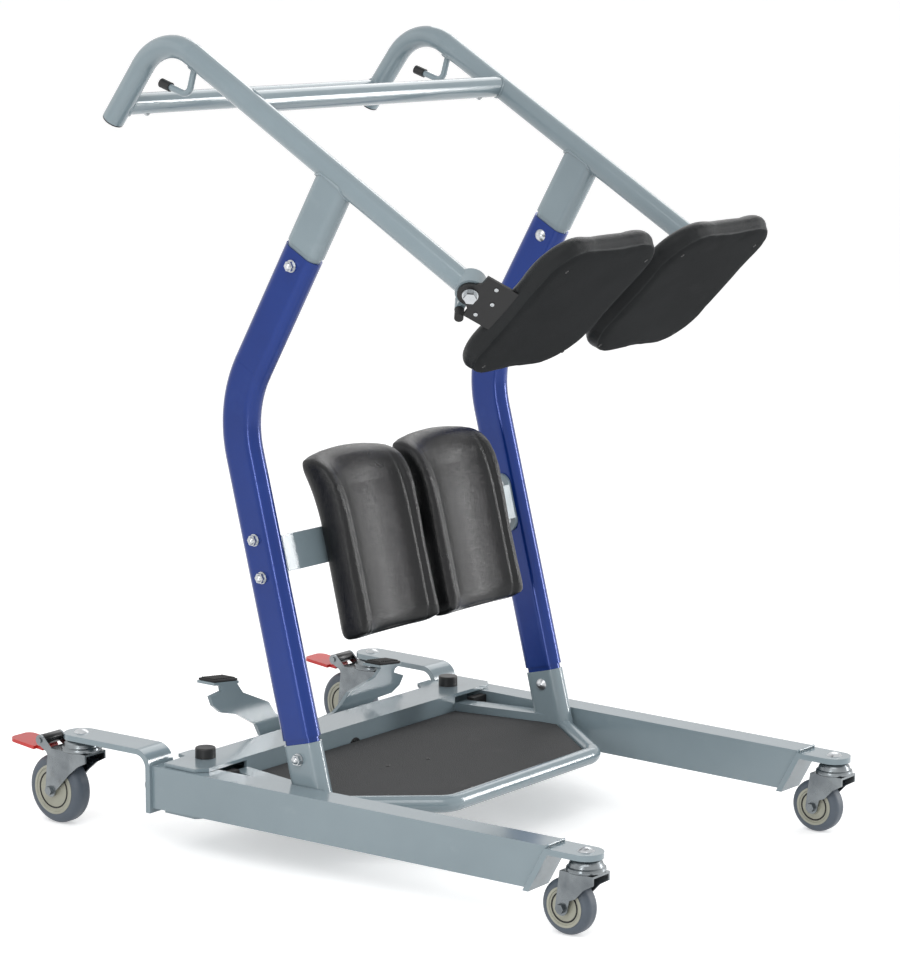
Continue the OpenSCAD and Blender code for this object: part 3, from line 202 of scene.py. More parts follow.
class Fields:
    """Shader node groups shared by the finishes, built once."""

    # Scale socket, result, detail of the noise, and the band of it that is stretched to 0 to 1
    SHARED = (("Cloud Scale", "Tone", 3.0, 0.3, 0.7), ("Scuff Scale", "Wear", 8.0, 0.6, 0.74))
    SCALES = (("Cloud Scale", 6.0), ("Fine Scale", 600.0), ("Scuff Scale", 18.0))
    NOISE_ROUGHNESS = 0.6
    PEEL_DETAIL = 1.5
    GRAIN_DETAIL = 4.0
    GRAIN_SHARE = 0.5
    CREASE = 0.22
    STREAK_DETAIL = 3.0
    STREAK_STRETCH = (1.0, 0.6, 0.16)

    def __init__(self) -> None:
        """Build every group."""
        self.trees: dict[Surface, bpy.types.NodeTree] = {
            Surface.COAT: self._coat(), Surface.GRAIN: self._grain(), Surface.BRUSH: self._brush()}

    def _start(self, name: str) -> tuple[bpy.types.NodeTree, bpy.types.Node, bpy.types.Node,
                                         bpy.types.Node]:
        """Start a group with the common sockets.

        Args:
            name: Name of the group.

        Returns:
            The group, its input and output nodes, and a node that gives Object coordinates.
        """
        tree = bpy.data.node_groups.new(name, "ShaderNodeTree")
        for label, value in self.SCALES:
            socket = tree.interface.new_socket(name=label, in_out="INPUT",
                                               socket_type="NodeSocketFloat")
            socket.default_value = value
        for label in ("Tone", "Height", "Wear"):
            tree.interface.new_socket(name=label, in_out="OUTPUT", socket_type="NodeSocketFloat")
        return (tree, tree.nodes.new("NodeGroupInput"), tree.nodes.new("NodeGroupOutput"),
                tree.nodes.new("ShaderNodeTexCoord"))

    def _noise(self, tree: bpy.types.NodeTree, place: bpy.types.NodeSocket,
               scale: bpy.types.NodeSocket, detail: float) -> bpy.types.NodeSocket:
        """Add a noise and return its value socket."""
        noise = tree.nodes.new("ShaderNodeTexNoise")
        noise.inputs["Detail"].default_value = detail
        noise.inputs["Roughness"].default_value = self.NOISE_ROUGHNESS
        tree.links.new(place, noise.inputs["Vector"])
        tree.links.new(scale, noise.inputs["Scale"])
        return noise.outputs["Fac"]

    @staticmethod
    def _range(tree: bpy.types.NodeTree, value: bpy.types.NodeSocket, low: float,
               high: float) -> bpy.types.NodeSocket:
        """Stretch a value's band to 0 to 1 and return the result."""
        node = tree.nodes.new("ShaderNodeMapRange")
        node.inputs["From Min"].default_value = low
        node.inputs["From Max"].default_value = high
        tree.links.new(value, node.inputs["Value"])
        return node.outputs["Result"]

    def _shared(self, tree: bpy.types.NodeTree, into: bpy.types.Node, out: bpy.types.Node,
                place: bpy.types.NodeSocket) -> None:
        """Wire the cloud tone and the scuffs, which every field has."""
        for scale, result, detail, low, high in self.SHARED:
            noise = self._noise(tree, place, into.outputs[scale], detail)
            tree.links.new(self._range(tree, noise, low, high), out.inputs[result])

    def _coat(self) -> bpy.types.NodeTree:
        """Paint and moulded plastic: a faint orange peel."""
        tree, into, out, where = self._start("coat_field")
        self._shared(tree, into, out, where.outputs["Object"])
        peel = self._noise(tree, where.outputs["Object"], into.outputs["Fine Scale"], self.PEEL_DETAIL)
        tree.links.new(peel, out.inputs["Height"])
        return tree

    def _grain(self) -> bpy.types.NodeTree:
        """Moulded skin and rubber: rounded pebbles between fine creases."""
        tree, into, out, where = self._start("grain_field")
        self._shared(tree, into, out, where.outputs["Object"])
        cells = tree.nodes.new("ShaderNodeTexVoronoi")
        cells.feature = "DISTANCE_TO_EDGE"
        tree.links.new(where.outputs["Object"], cells.inputs["Vector"])
        tree.links.new(into.outputs["Fine Scale"], cells.inputs["Scale"])
        pebble = self._range(tree, cells.outputs["Distance"], 0.0, self.CREASE)
        rough = self._noise(tree, where.outputs["Object"], into.outputs["Fine Scale"], self.GRAIN_DETAIL)
        mix = tree.nodes.new("ShaderNodeMath")
        mix.operation = "MULTIPLY_ADD"
        mix.inputs[1].default_value = self.GRAIN_SHARE
        tree.links.new(rough, mix.inputs[0])
        tree.links.new(pebble, mix.inputs[2])
        tree.links.new(mix.outputs["Value"], out.inputs["Height"])
        return tree

    def _brush(self) -> bpy.types.NodeTree:
        """Plated steel: fine streaks from rolling and tumbling."""
        tree, into, out, where = self._start("brush_field")
        stretch = tree.nodes.new("ShaderNodeMapping")
        stretch.inputs["Scale"].default_value = self.STREAK_STRETCH
        tree.links.new(where.outputs["Object"], stretch.inputs["Vector"])
        self._shared(tree, into, out, where.outputs["Object"])
        streak = self._noise(tree, stretch.outputs["Vector"], into.outputs["Fine Scale"],
                             self.STREAK_DETAIL)
        tree.links.new(streak, out.inputs["Height"])
        return tree


@dataclass(frozen=True)
class Finish:
    """One finish of the object, as display colours and shader values.

    Matte names a point attribute that raises the roughness where it is set.
    """

    slot: str
    surface: Surface
    low: tuple[float, float, float]
    high: tuple[float, float, float]
    worn: tuple[float, float, float]
    rough: tuple[float, float]
    wear: float = 0.15
    metallic: float = 0.0
    coat: float = 0.0
    specular: float = 0.5
    bump: float = 0.1
    depth: float = 0.0002
    cloud: float = 6.0
    fine: float = 600.0
    scuff: float = 18.0
    coat_rough: float = 0.18
    matte: str = ""

    def build(self, fields: Fields) -> bpy.types.Material:
        """Make the material.

        Args:
            fields: The shared node groups.

        Returns:
            A node material named after the slot.
        """
        material = bpy.data.materials.new(f"finish_{self.slot}")
        material.use_nodes = True
        nodes, links = material.node_tree.nodes, material.node_tree.links
        shader = nodes["Principled BSDF"]
        shader.inputs["Metallic"].default_value = self.metallic
        shader.inputs["Coat Weight"].default_value = self.coat
        shader.inputs["Coat Roughness"].default_value = self.coat_rough
        shader.inputs["Specular IOR Level"].default_value = self.specular
        group = nodes.new("ShaderNodeGroup")
        group.node_tree = fields.trees[self.surface]
        group.inputs["Cloud Scale"].default_value = self.cloud
        group.inputs["Fine Scale"].default_value = self.fine
        group.inputs["Scuff Scale"].default_value = self.scuff
        tint = self._mix(material, linear(self.low), linear(self.high))
        links.new(group.outputs["Tone"], tint.inputs[MIX_FACTOR])
        share = nodes.new("ShaderNodeMath")
        share.operation = "MULTIPLY"
        share.inputs[1].default_value = self.wear
        links.new(group.outputs["Wear"], share.inputs[0])
        worn = self._mix(material, linear(self.low), linear(self.worn))
        links.new(tint.outputs[MIX_RESULT], worn.inputs[MIX_FIRST])
        links.new(share.outputs["Value"], worn.inputs[MIX_FACTOR])
        links.new(worn.outputs[MIX_RESULT], shader.inputs["Base Color"])
        gloss = nodes.new("ShaderNodeMapRange")
        gloss.inputs["To Min"].default_value, gloss.inputs["To Max"].default_value = self.rough
        links.new(group.outputs["Tone"], gloss.inputs["Value"])
        rough = gloss.outputs["Result"]
        if self.matte:
            mark = nodes.new("ShaderNodeAttribute")
            mark.attribute_name = self.matte
            dull = nodes.new("ShaderNodeMath")
            dull.operation = "MAXIMUM"
            links.new(rough, dull.inputs[0])
            links.new(mark.outputs["Fac"], dull.inputs[1])
            rough = dull.outputs["Value"]
        links.new(rough, shader.inputs["Roughness"])
        relief = nodes.new("ShaderNodeBump")
        relief.inputs["Strength"].default_value = self.bump
        relief.inputs["Distance"].default_value = self.depth
        links.new(group.outputs["Height"], relief.inputs["Height"])
        links.new(relief.outputs["Normal"], shader.inputs["Normal"])
        return material

    @staticmethod
    def _mix(material: bpy.types.Material, first: tuple[float, ...],
             second: tuple[float, ...]) -> bpy.types.Node:
        """Add a colour mix with its two colours set."""
        node = material.node_tree.nodes.new("ShaderNodeMix")
        node.data_type = "RGBA"
        node.inputs[MIX_FIRST].default_value = first
        node.inputs[MIX_SECOND].default_value = second
        return node


FINISHES: tuple[Finish, ...] = (
    Finish("frame_paint", Surface.COAT, (0.492, 0.553, 0.58), (0.522, 0.583, 0.61), (0.62, 0.67, 0.695),
           (0.11, 0.18), wear=0.2, coat=0.4, bump=0.08, fine=420.0),
    Finish("post_paint", Surface.COAT, (0.03, 0.17, 0.455), (0.05, 0.2, 0.51), (0.24, 0.36, 0.64),
           (0.14, 0.2), wear=0.1, metallic=0.3, coat=0.3, specular=0.3, bump=0.2, fine=1400.0),
    Finish("pad_skin", Surface.GRAIN, (0.062, 0.066, 0.07), (0.085, 0.089, 0.094), (0.15, 0.154, 0.16),
           (0.22, 0.28), wear=0.2, specular=0.34, bump=0.8, depth=0.00014, cloud=9.0, fine=480.0,
           scuff=24.0),
    Finish("seat_skin", Surface.GRAIN, (0.115, 0.122, 0.127), (0.14, 0.147, 0.152), (0.18, 0.185, 0.19),
           (0.34, 0.42), wear=0.3, specular=0.16, bump=0.8, depth=0.0002, cloud=9.0, fine=500.0,
           scuff=24.0, matte="under"),
    Finish("seat_base", Surface.GRAIN, (0.135, 0.14, 0.145), (0.175, 0.18, 0.185), (0.23, 0.235, 0.24),
           (0.5, 0.62), wear=0.3, bump=0.35, depth=0.0005, cloud=11.0, fine=520.0, scuff=16.0),
    Finish("foot_rubber", Surface.GRAIN, (0.225, 0.228, 0.23), (0.27, 0.272, 0.275), (0.35, 0.345, 0.345),
           (0.72, 0.84), wear=0.3, specular=0.3, bump=0.45, depth=0.0006, cloud=8.0, fine=340.0,
           scuff=14.0),
    Finish("black_rubber", Surface.GRAIN, (0.07, 0.07, 0.072), (0.11, 0.11, 0.112), (0.22, 0.22, 0.22),
           (0.6, 0.75), wear=0.35, bump=0.3, depth=0.0004, fine=800.0, scuff=60.0),
    Finish("black_plastic", Surface.COAT, (0.075, 0.077, 0.08), (0.11, 0.112, 0.115), (0.2, 0.2, 0.2),
           (0.38, 0.5), wear=0.2, bump=0.2, fine=900.0, scuff=70.0),
    Finish("hinge_black", Surface.COAT, (0.055, 0.056, 0.06), (0.09, 0.09, 0.095), (0.24, 0.24, 0.25),
           (0.3, 0.42), wear=0.3, metallic=0.3, coat=0.2, bump=0.15, fine=700.0, scuff=60.0),
    Finish("zinc", Surface.BRUSH, (0.69, 0.705, 0.715), (0.8, 0.81, 0.82), (0.56, 0.56, 0.54),
           (0.2, 0.34), wear=0.4, metallic=1.0, bump=0.12, cloud=30.0, fine=900.0, scuff=70.0),
    Finish("caster_steel", Surface.BRUSH, (0.4, 0.42, 0.435), (0.55, 0.57, 0.58), (0.33, 0.33, 0.31),
           (0.2, 0.34), wear=0.4, metallic=1.0, bump=0.14, cloud=22.0, fine=700.0, scuff=50.0),
    Finish("tyre_grey", Surface.COAT, (0.29, 0.325, 0.365), (0.335, 0.37, 0.41), (0.43, 0.42, 0.39),
           (0.45, 0.58), wear=0.4, bump=0.2, cloud=20.0, fine=700.0, scuff=45.0),
    Finish("hub_beige", Surface.COAT, (0.6, 0.6, 0.545), (0.67, 0.67, 0.61), (0.5, 0.49, 0.44),
           (0.36, 0.48), wear=0.3, bump=0.12, cloud=25.0, fine=800.0, scuff=60.0),
    Finish("brake_red", Surface.COAT, (0.72, 0.14, 0.125), (0.8, 0.19, 0.165), (0.86, 0.42, 0.38),
           (0.3, 0.42), wear=0.25, coat=0.2, bump=0.15, cloud=20.0, fine=800.0, scuff=60.0),
)


@dataclass
class Wardrobe:
    """The built finishes, and the dressing of pieces in them."""

    materials: dict[str, bpy.types.Material] = field(default_factory=dict)

    def stock(self, fields: Fields) -> None:
        """Build every finish."""
        for finish in FINISHES:
            self.materials[finish.slot] = finish.build(fields)

    def dress_nodes(self) -> None:
        """Give each CAD node the finish of its slot in the record."""
        for part in frame["record"]["subparts"]:
            node = frame["nodes"][part["node"]]
            node.data.materials.clear()
            node.data.materials.append(self.materials[part["material_slot"]])

    def dress(self, piece: bpy.types.Object, slot: str, body: str, finish: str = "") -> None:
        """Give a new piece its finish and the body that it rides on.

        Args:
            piece: The finished piece.
            slot: Material slot of the record.
            body: Name of the CAD body.
            finish: Name of the finish, where it isn't the slot's own.
        """
        piece.data.materials.clear()
        piece.data.materials.append(self.materials[finish or slot])
        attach(piece, body)
        LOG.info("%s rides on %s", piece.name, body)


@dataclass
class Pads:
    """Foam pads with a moulded skin: shin pads and the two halves of the seat.

    Lengths are in metres; places across and up a shin pad's face are shares of its size.
    """

    voxel: float = 0.004
    shrink: float = 0.0018
    swell: float = 0.0026
    pressure: float = 4.0
    steps: int = 20
    ease_factor: float = 0.5
    shin_rounds: int = 9
    seat_rounds: int = 6
    filled_rounds: int = 5
    shin_at: tuple[float, float, float] = (-0.0733, 0.0985, 0.420)
    shin_lean: float = 14.4
    shin_half: float = 0.0955
    shin_low: float = -0.140
    shin_high: float = 0.124
    roll_rounds: int = 70
    roll_from: float = 0.62
    roll_span: float = 0.2
    face_from: float = 0.15
    face_span: float = 0.45
    top: float = 0.97
    top_fade: float = 0.16
    dig: float = 0.007
    rise: float = 0.003
    lip: float = 0.002
    groove: float = 0.0026
    groove_half: float = 0.05
    lip_at: float = 0.84
    lip_half: float = 0.15
    under_from: float = 0.75
    under_span: float = 0.2

    def build(self, wardrobe: Wardrobe) -> dict[str, bpy.types.Object]:
        """Model the left pads, mirror them, and let all four stand for their solids.

        Args:
            wardrobe: The finishes.

        Returns:
            The skins by name.
        """
        shin = (Matrix.Translation(self.shin_at)
                @ Matrix.Rotation(math.radians(-self.shin_lean), 4, "Y"))
        seat = Matrix.Translation(HINGE) @ Matrix.Rotation(math.radians(-SEAT_TILT), 4, "Y")
        skins: dict[str, bpy.types.Object] = {}
        for solids, finish, rounds, place in (
                (("shin_pad",), "pad_skin", self.shin_rounds, shin),
                (("seat_pad", "seat_board"), "seat_skin", self.seat_rounds, seat)):
            left = self._foam([f"{solid}_left" for solid in solids], rounds, place)
            if place is shin:
                self._roll_sides(left)
                self._trough(left)
            else:
                self._mark_under(left)
            left.data.transform(place)
            left.name = left.data.name = f"{solids[0]}_skin_left"
            for piece, side in both(left, f"{solids[0]}_skin"):
                smooth(piece, SKIN_ANGLE)
                wardrobe.dress(piece, "pad_skin", "frame" if place is shin else f"seat_{side}", finish)
                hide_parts(*(f"{solid}_{side}" for solid in solids))
                skins[piece.name] = piece
        return skins

    def _foam(self, nodes: list[str], rounds: int, place: Matrix) -> bpy.types.Object:
        """Copy a pad's solids as one, round it and let pressure fill it.

        Args:
            nodes: Names of the CAD nodes.
            rounds: How often the remeshed form is eased.
            place: Placement of the pad, so that it is remeshed square to its face.

        Returns:
            The crowned pad as one closed mesh, in the pad's own axes.
        """
        copies = []
        for node in nodes:
            source = frame["nodes"][node]
            copy = source.copy()
            copy.data = source.data.copy()
            copy.parent = None
            for key in list(copy.keys()):
                del copy[key]
            bpy.context.scene.collection.objects.link(copy)
            turn_out(copy, 1e-5)
            copies.append(copy)
        piece = join(copies, "pad_form")
        piece.data.transform(place.inverted())
        piece.data.remesh_voxel_size = self.voxel
        take(piece)
        bpy.ops.object.voxel_remesh()
        self._ease(piece, rounds)
        bpy.ops.object.mode_set(mode="EDIT")
        bpy.ops.mesh.select_all(action="SELECT")
        bpy.ops.transform.shrink_fatten(value=-self.shrink)
        bpy.ops.object.mode_set(mode="OBJECT")
        self._fill(piece)
        self._ease(piece, self.filled_rounds)
        round_off = piece.modifiers.new("Fine", "SUBSURF")
        round_off.levels = round_off.render_levels = 1
        apply_all(piece)
        return piece

    def _ease(self, piece: bpy.types.Object, rounds: int, group: str = "") -> None:
        """Smooth a pad's surface, or one vertex group of it, a number of times."""
        ease = piece.modifiers.new("Ease", "SMOOTH")
        ease.factor = self.ease_factor
        ease.iterations = rounds
        ease.vertex_group = group
        apply_all(piece)

    def _roll_sides(self, piece: bpy.types.Object) -> None:
        """Round the long sides of a shin pad into rolls, with its middle left as it is."""
        sides = piece.vertex_groups.new(name="sides")
        for vertex in piece.data.vertices:
            across = abs(vertex.co.y) / self.shin_half
            sides.add([vertex.index], ramp(across, self.roll_from, self.roll_span), "REPLACE")
        self._ease(piece, self.roll_rounds, sides.name)
        piece.vertex_groups.clear()

    def _trough(self, piece: bpy.types.Object) -> None:
        """Hollow a shin pad's face between two rolled lips that fade into its rounded top."""
        normals = [v.normal.copy() for v in piece.data.vertices]
        inner = self.lip_at - self.lip_half
        for vertex, normal in zip(piece.data.vertices, normals):
            facing = ramp(normal.x, self.face_from, self.face_span)
            across = abs(vertex.co.y) / self.shin_half
            up = (vertex.co.z - self.shin_low) / (self.shin_high - self.shin_low)
            fade = ramp(self.top - up, 0.0, self.top_fade)
            hollow = (self.dig + self.rise) * min(1.0, across / inner) ** 2 - self.dig
            roll = self.lip * max(0.0, 1.0 - ((across - self.lip_at) / self.lip_half) ** 2)
            crease = self.groove * max(0.0, 1.0 - abs(across - inner) / self.groove_half)
            vertex.co.x += facing * fade * (hollow + roll - crease)

    def _mark_under(self, piece: bpy.types.Object) -> None:
        """Mark the flat underside of the seat, whose cover is dull, in a point attribute."""
        mark = piece.data.attributes.new("under", "FLOAT", "POINT")
        for value, vertex in zip(mark.data, piece.data.vertices):
            value.value = ramp(-vertex.normal.z, self.under_from, self.under_span)

    def _fill(self, piece: bpy.types.Object) -> None:
        """Swell a pad with Cloth and cap how far each point moves."""
        start = [v.co.copy() for v in piece.data.vertices]
        cloth = piece.modifiers.new("Swell", "CLOTH")
        cloth.settings.use_pressure = True
        cloth.settings.uniform_pressure_force = self.pressure
        cloth.settings.effector_weights.gravity = 0.0
        cloth.collision_settings.use_collision = False
        scene = bpy.context.scene
        for step in range(1, self.steps + 1):
            scene.frame_set(step)
        apply_all(piece)
        scene.frame_set(1)
        for vertex, rest in zip(piece.data.vertices, start):
            move = vertex.co - rest
            if move.length > self.swell:
                vertex.co = rest + move * (self.swell / move.length)


@dataclass
class Welds:
    """Rippled weld beads on the handle tubes: at the necks, the crossbar stubs and the hooks."""

    tube_r: float = 0.0159
    stub_r: float = 0.015
    bead_r: float = 0.0021
    ripple: float = 0.16
    slope: float = 31.0
    neck_at: float = 0.254
    neck_lean: float = 30.0
    neck_flat: float = 0.0155
    neck_r: float = 0.0152
    front_bar_at: float = 0.434
    corner: tuple[float, float] = (-0.24844, 1.12572)
    grip_slope: float = 52.5
    rear_bar_at: float = 0.130
    hook_at: float = 0.071
    hook_sink: float = 0.98
    hook_r: tuple[float, float] = (0.0056, 0.0052)
    hook_bead_r: float = 0.0015
    hook_steps: int = 24
    steps: int = 48

    def build(self, wardrobe: Wardrobe) -> None:
        """Make the beads of the left side, mirror them, and put all on the frame."""
        left = join([self._neck(), *self._stubs(), self._hook()], "handle_welds_left")
        for piece, _ in both(left, "handle_welds"):
            smooth(piece, BEAD_ANGLE)
            wardrobe.dress(piece, "frame_paint", "frame")

    def _handle(self) -> tuple[Vector, Vector, Vector]:
        """Hinge point, direction of the handle, and the direction square to it in its plane."""
        a = math.radians(self.slope)
        run = Vector((-math.cos(a), 0.0, math.sin(a)))
        return Vector(HINGE), run, Vector((-run.z, 0.0, run.x))

    def _neck(self) -> bpy.types.Object:
        """Bead round the oval neck where it runs into the handle tube."""
        start, run, _ = self._handle()
        a = math.radians(self.neck_lean)
        down = Vector((-math.sin(a), 0.0, -math.cos(a)))
        middle = start + run * self.neck_at
        points = []
        for i in range(self.steps):
            t = 2 * math.pi * i / self.steps
            u = math.copysign(self.neck_flat, math.cos(t)) + self.neck_r * math.cos(t)
            v = self.neck_r * math.sin(t)
            points.append(middle + run * u + Vector((0, v, 0))
                          + down * math.sqrt(max(0.0, self.tube_r ** 2 - v * v)))
        return self.bead(points, "neck_bead")

    def _stubs(self) -> list[bpy.types.Object]:
        """Beads round both crossbar stubs where they meet the handle tube."""
        start, run, _ = self._handle()
        g = math.radians(self.grip_slope)
        grip = Vector((-math.cos(g), 0.0, -math.sin(g)))
        corner = Vector((self.corner[0], SIDE_Y, self.corner[1]))
        made = []
        for middle, line, name in ((start + run * self.front_bar_at, run, "front_stub_bead"),
                                   (corner + grip * self.rear_bar_at, grip, "rear_stub_bead")):
            square = Vector((-line.z, 0.0, line.x))
            points = []
            for i in range(self.steps):
                t = 2 * math.pi * i / self.steps
                b = self.stub_r * math.sin(t)
                points.append(middle + line * (self.stub_r * math.cos(t)) + square * b
                              - Vector((0, math.sqrt(max(0.0, self.tube_r ** 2 - b * b)), 0)))
            made.append(self.bead(points, name))
        return made

    def _hook(self) -> bpy.types.Object:
        """Small bead round the root of the bag hook."""
        start, run, square = self._handle()
        corner = Vector((self.corner[0], SIDE_Y, self.corner[1]))
        root = corner - run * self.hook_at + square * self.tube_r * self.hook_sink
        along, across = self.hook_r
        points = []
        for i in range(self.hook_steps):
            t = 2 * math.pi * i / self.hook_steps
            points.append(root + run * (along * math.cos(t)) + Vector((0, across * math.sin(t), 0)))
        return self.bead(points, "hook_bead", self.hook_bead_r)

    def bead(self, points: list[Vector], name: str, radius: float = 0.0) -> bpy.types.Object:
        """Sweep a rippled bead along a closed line of points.

        Args:
            points: Points of the line, in the object's frame.
            name: Name of the bead.
            radius: Radius of the bead, or 0 for the usual one.

        Returns:
            The bead as a mesh.
        """
        curve = bpy.data.curves.new(name, "CURVE")
        curve.dimensions = "3D"
        curve.bevel_depth = radius or self.bead_r
        curve.bevel_resolution = 2
        spline = curve.splines.new("POLY")
        spline.points.add(len(points) - 1)
        spline.use_cyclic_u = True
        for i, (target, place) in enumerate(zip(spline.points, points)):
            target.co = (*place, 1.0)
            target.radius = 1.0 + self.ripple * (1.0 if i % 2 else -1.0)
        piece = bpy.data.objects.new(name, curve)
        bpy.context.scene.collection.objects.link(piece)
        take(piece)
        bpy.ops.object.convert(target="MESH")
        piece = bpy.context.object
        turn_out(piece)
        return piece


@dataclass
class LegSeams:
    """Weld seams round the front end of each leg, where the closing plate is welded on."""

    pivot: tuple[float, float] = (-0.190, 0.275)
    toe: float = 1.65
    out: float = 0.045
    width: float = 0.040
    bottom: float = 0.056
    height: float = 0.060
    front: float = 0.622
    slant: float = 0.033
    bead_r: float = 0.0016
    pitch: float = 0.0028

    def build(self, wardrobe: Wardrobe) -> None:
        """Make the left seam, mirror it, and put each on its leg."""
        place = (Matrix.Translation((*self.pivot, 0.0))
                 @ Matrix.Rotation(math.radians(-self.toe), 4, "Z"))
        half = self.width / 2
        low, high = self.front - self.slant, self.front
        top = self.bottom + self.height
        corners = [Vector((low, self.out - half, self.bottom)), Vector((high, self.out - half, top)),
                   Vector((high, self.out + half, top)), Vector((low, self.out + half, self.bottom))]
        points: list[Vector] = []
        for first, second in zip(corners, corners[1:] + corners[:1]):
            count = max(2, round((second - first).length / self.pitch))
            points += [place @ first.lerp(second, i / count) for i in range(count)]
        left = Welds().bead(points, "leg_seam_left", self.bead_r)
        left.name = left.data.name = "leg_seam_left"
        for piece, side in both(left, "leg_seam"):
            smooth(piece, BEAD_ANGLE)
            wardrobe.dress(piece, "frame_paint", f"leg_{side}")


@dataclass
class Screws:
    """Small pan-head screws with a recess.

    A head is given by its radius and height; its rim, recess and rounding are shares of these.
    """

    board_head: tuple[float, float] = (0.0026, 0.0012)
    plate_head: tuple[float, float] = (0.0028, 0.0016)
    mat_head: tuple[float, float] = (0.003, 0.0009)
    rim: float = 0.28
    recess_wall: float = 0.25
    recess_depth: float = 0.55
    rounding: float = 0.16
    sides: int = 20
    cast_from: float = -0.12
    board_face: float = -0.06
    board_sink: float = 0.0006
    plate_face: float = 0.0143
    plate_turn: float = -135.0
    mat_face: float = 0.096
    board_places: tuple[tuple[float, float], ...] = ((-0.093, -0.058), (-0.093, -0.234),
                                                     (0.093, -0.058), (0.093, -0.234))
    plate_places: tuple[tuple[float, float], ...] = ((-0.021, 0.0225), (0.004, 0.031),
                                                     (0.026, 0.0225))
    mat_places: tuple[tuple[float, float], ...] = ((-0.02, -0.0806), (0.0005, -0.0155))

    def build(self, wardrobe: Wardrobe, skin: bpy.types.Object) -> None:
        """Place the screws of the seat, the hinge plates and the mat.

        Args:
            wardrobe: The finishes.
            skin: Skin of the left half of the seat, which the screws under it stand on.
        """
        seat = Matrix.Translation(HINGE) @ Matrix.Rotation(math.radians(-SEAT_TILT), 4, "Y")
        plate = seat @ Matrix.Rotation(math.radians(self.plate_turn), 4, "X")
        under = Matrix.Rotation(math.pi, 4, "X")
        boards = []
        for x, y in self.board_places:
            found, where, _, _ = skin.ray_cast(seat @ Vector((x, y, self.cast_from)),
                                               seat.to_3x3() @ Vector((0, 0, 1)))
            face = (seat.inverted() @ where).z if found else self.board_face
            place = seat @ Matrix.Translation((x, y, face + self.board_sink)) @ under
            boards.append(self._screw(place, *self.board_head))
        plates = [self._screw(plate @ Matrix.Translation((x, y, self.plate_face)), *self.plate_head)
                  for x, y in self.plate_places]
        for pieces, name, slot in ((boards, "board_screws", "black_plastic"),
                                   (plates, "plate_screws", "zinc")):
            for piece, side in both(join(pieces, f"{name}_left"), name):
                smooth(piece)
                wardrobe.dress(piece, slot, f"seat_{side}")
        mats = [self._screw(Matrix.Translation((x, y, self.mat_face)), *self.mat_head)
                for x, y in self.mat_places]
        piece = join(mats, "mat_screws")
        smooth(piece)
        wardrobe.dress(piece, "black_plastic", "frame")

    def _screw(self, place: Matrix, radius: float, height: float) -> bpy.types.Object:
        """Model one screw head standing on the plane z = 0 of a placement.

        Args:
            place: Placement of the head.
            radius: Radius of the head.
            height: Height of the head.

        Returns:
            The head with its place in its mesh.
        """
        deselect()
        bpy.ops.mesh.primitive_cylinder_add(vertices=self.sides, radius=radius, depth=height,
                                            location=(0, 0, height / 2))
        head = bpy.context.object
        settle(head)
        edit_faces(head, lambda normal: normal.z > SQUARE)
        bpy.ops.mesh.inset(thickness=radius * self.rim, depth=0.0)
        bpy.ops.mesh.inset(thickness=radius * self.recess_wall, depth=0.0)
        down = (0, 0, -height * self.recess_depth)
        bpy.ops.mesh.extrude_region_move(TRANSFORM_OT_translate={"value": down})
        bpy.ops.object.mode_set(mode="OBJECT")
        bevel(head, radius * self.rounding)
        head.matrix_world = place
        settle(head)
        return head


@dataclass
class Pedals:
    """Ribbed rubber on the two tabs of the rocker."""

    pivot: tuple[float, float, float] = (0.0, 0.0, 0.088)
    rest: float = -6.5
    x: tuple[float, float] = (-0.2707, -0.2397)
    y: tuple[float, float] = (0.162, 0.212)
    z: tuple[float, float] = (0.0951, 0.0986)
    edge: float = 0.0012
    ribs: int = 9
    rib_w: float = 0.0032
    rib_h: float = 0.0015
    rib_sink: float = 0.0005
    rib_edge: float = 0.0006
    margin_x: float = 0.003
    margin_y: float = 0.002

    def build(self, wardrobe: Wardrobe) -> None:
        """Make both treads and let them stand for the plain pads."""
        place = Matrix.Translation(self.pivot) @ Matrix.Rotation(math.radians(self.rest), 4, "X")
        treads = []
        for sign in SIDES.values():
            blocks = [self._block(sign, self.x, self.y, self.z, self.edge)]
            pitch = (self.y[1] - self.y[0] - 2 * self.margin_y) / self.ribs
            for i in range(self.ribs):
                middle = self.y[0] + self.margin_y + pitch * (i + 0.5)
                blocks.append(self._block(sign, (self.x[0] + self.margin_x, self.x[1] - self.margin_x),
                                          (middle - self.rib_w / 2, middle + self.rib_w / 2),
                                          (self.z[1] - self.rib_sink, self.z[1] + self.rib_h),
                                          self.rib_edge))
            tread = join(blocks, "tread")
            tread.matrix_world = place
            settle(tread)
            treads.append(tread)
        piece = join(treads, "pedal_treads")
        smooth(piece)
        wardrobe.dress(piece, "black_rubber", "pedal_rocker")
        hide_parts("pedal_pads")

    @staticmethod
    def _block(sign: float, x: tuple[float, float], y: tuple[float, float], z: tuple[float, float],
               edge: float) -> bpy.types.Object:
        """Model one rounded block between the given limits on one side."""
        deselect()
        middle = (sum(x) / 2, sign * sum(y) / 2, sum(z) / 2)
        bpy.ops.mesh.primitive_cube_add(size=1.0, location=middle)
        block = bpy.context.object
        block.scale = (x[1] - x[0], y[1] - y[0], z[1] - z[0])
        settle(block)
        bevel(block, edge, 3)
        return block


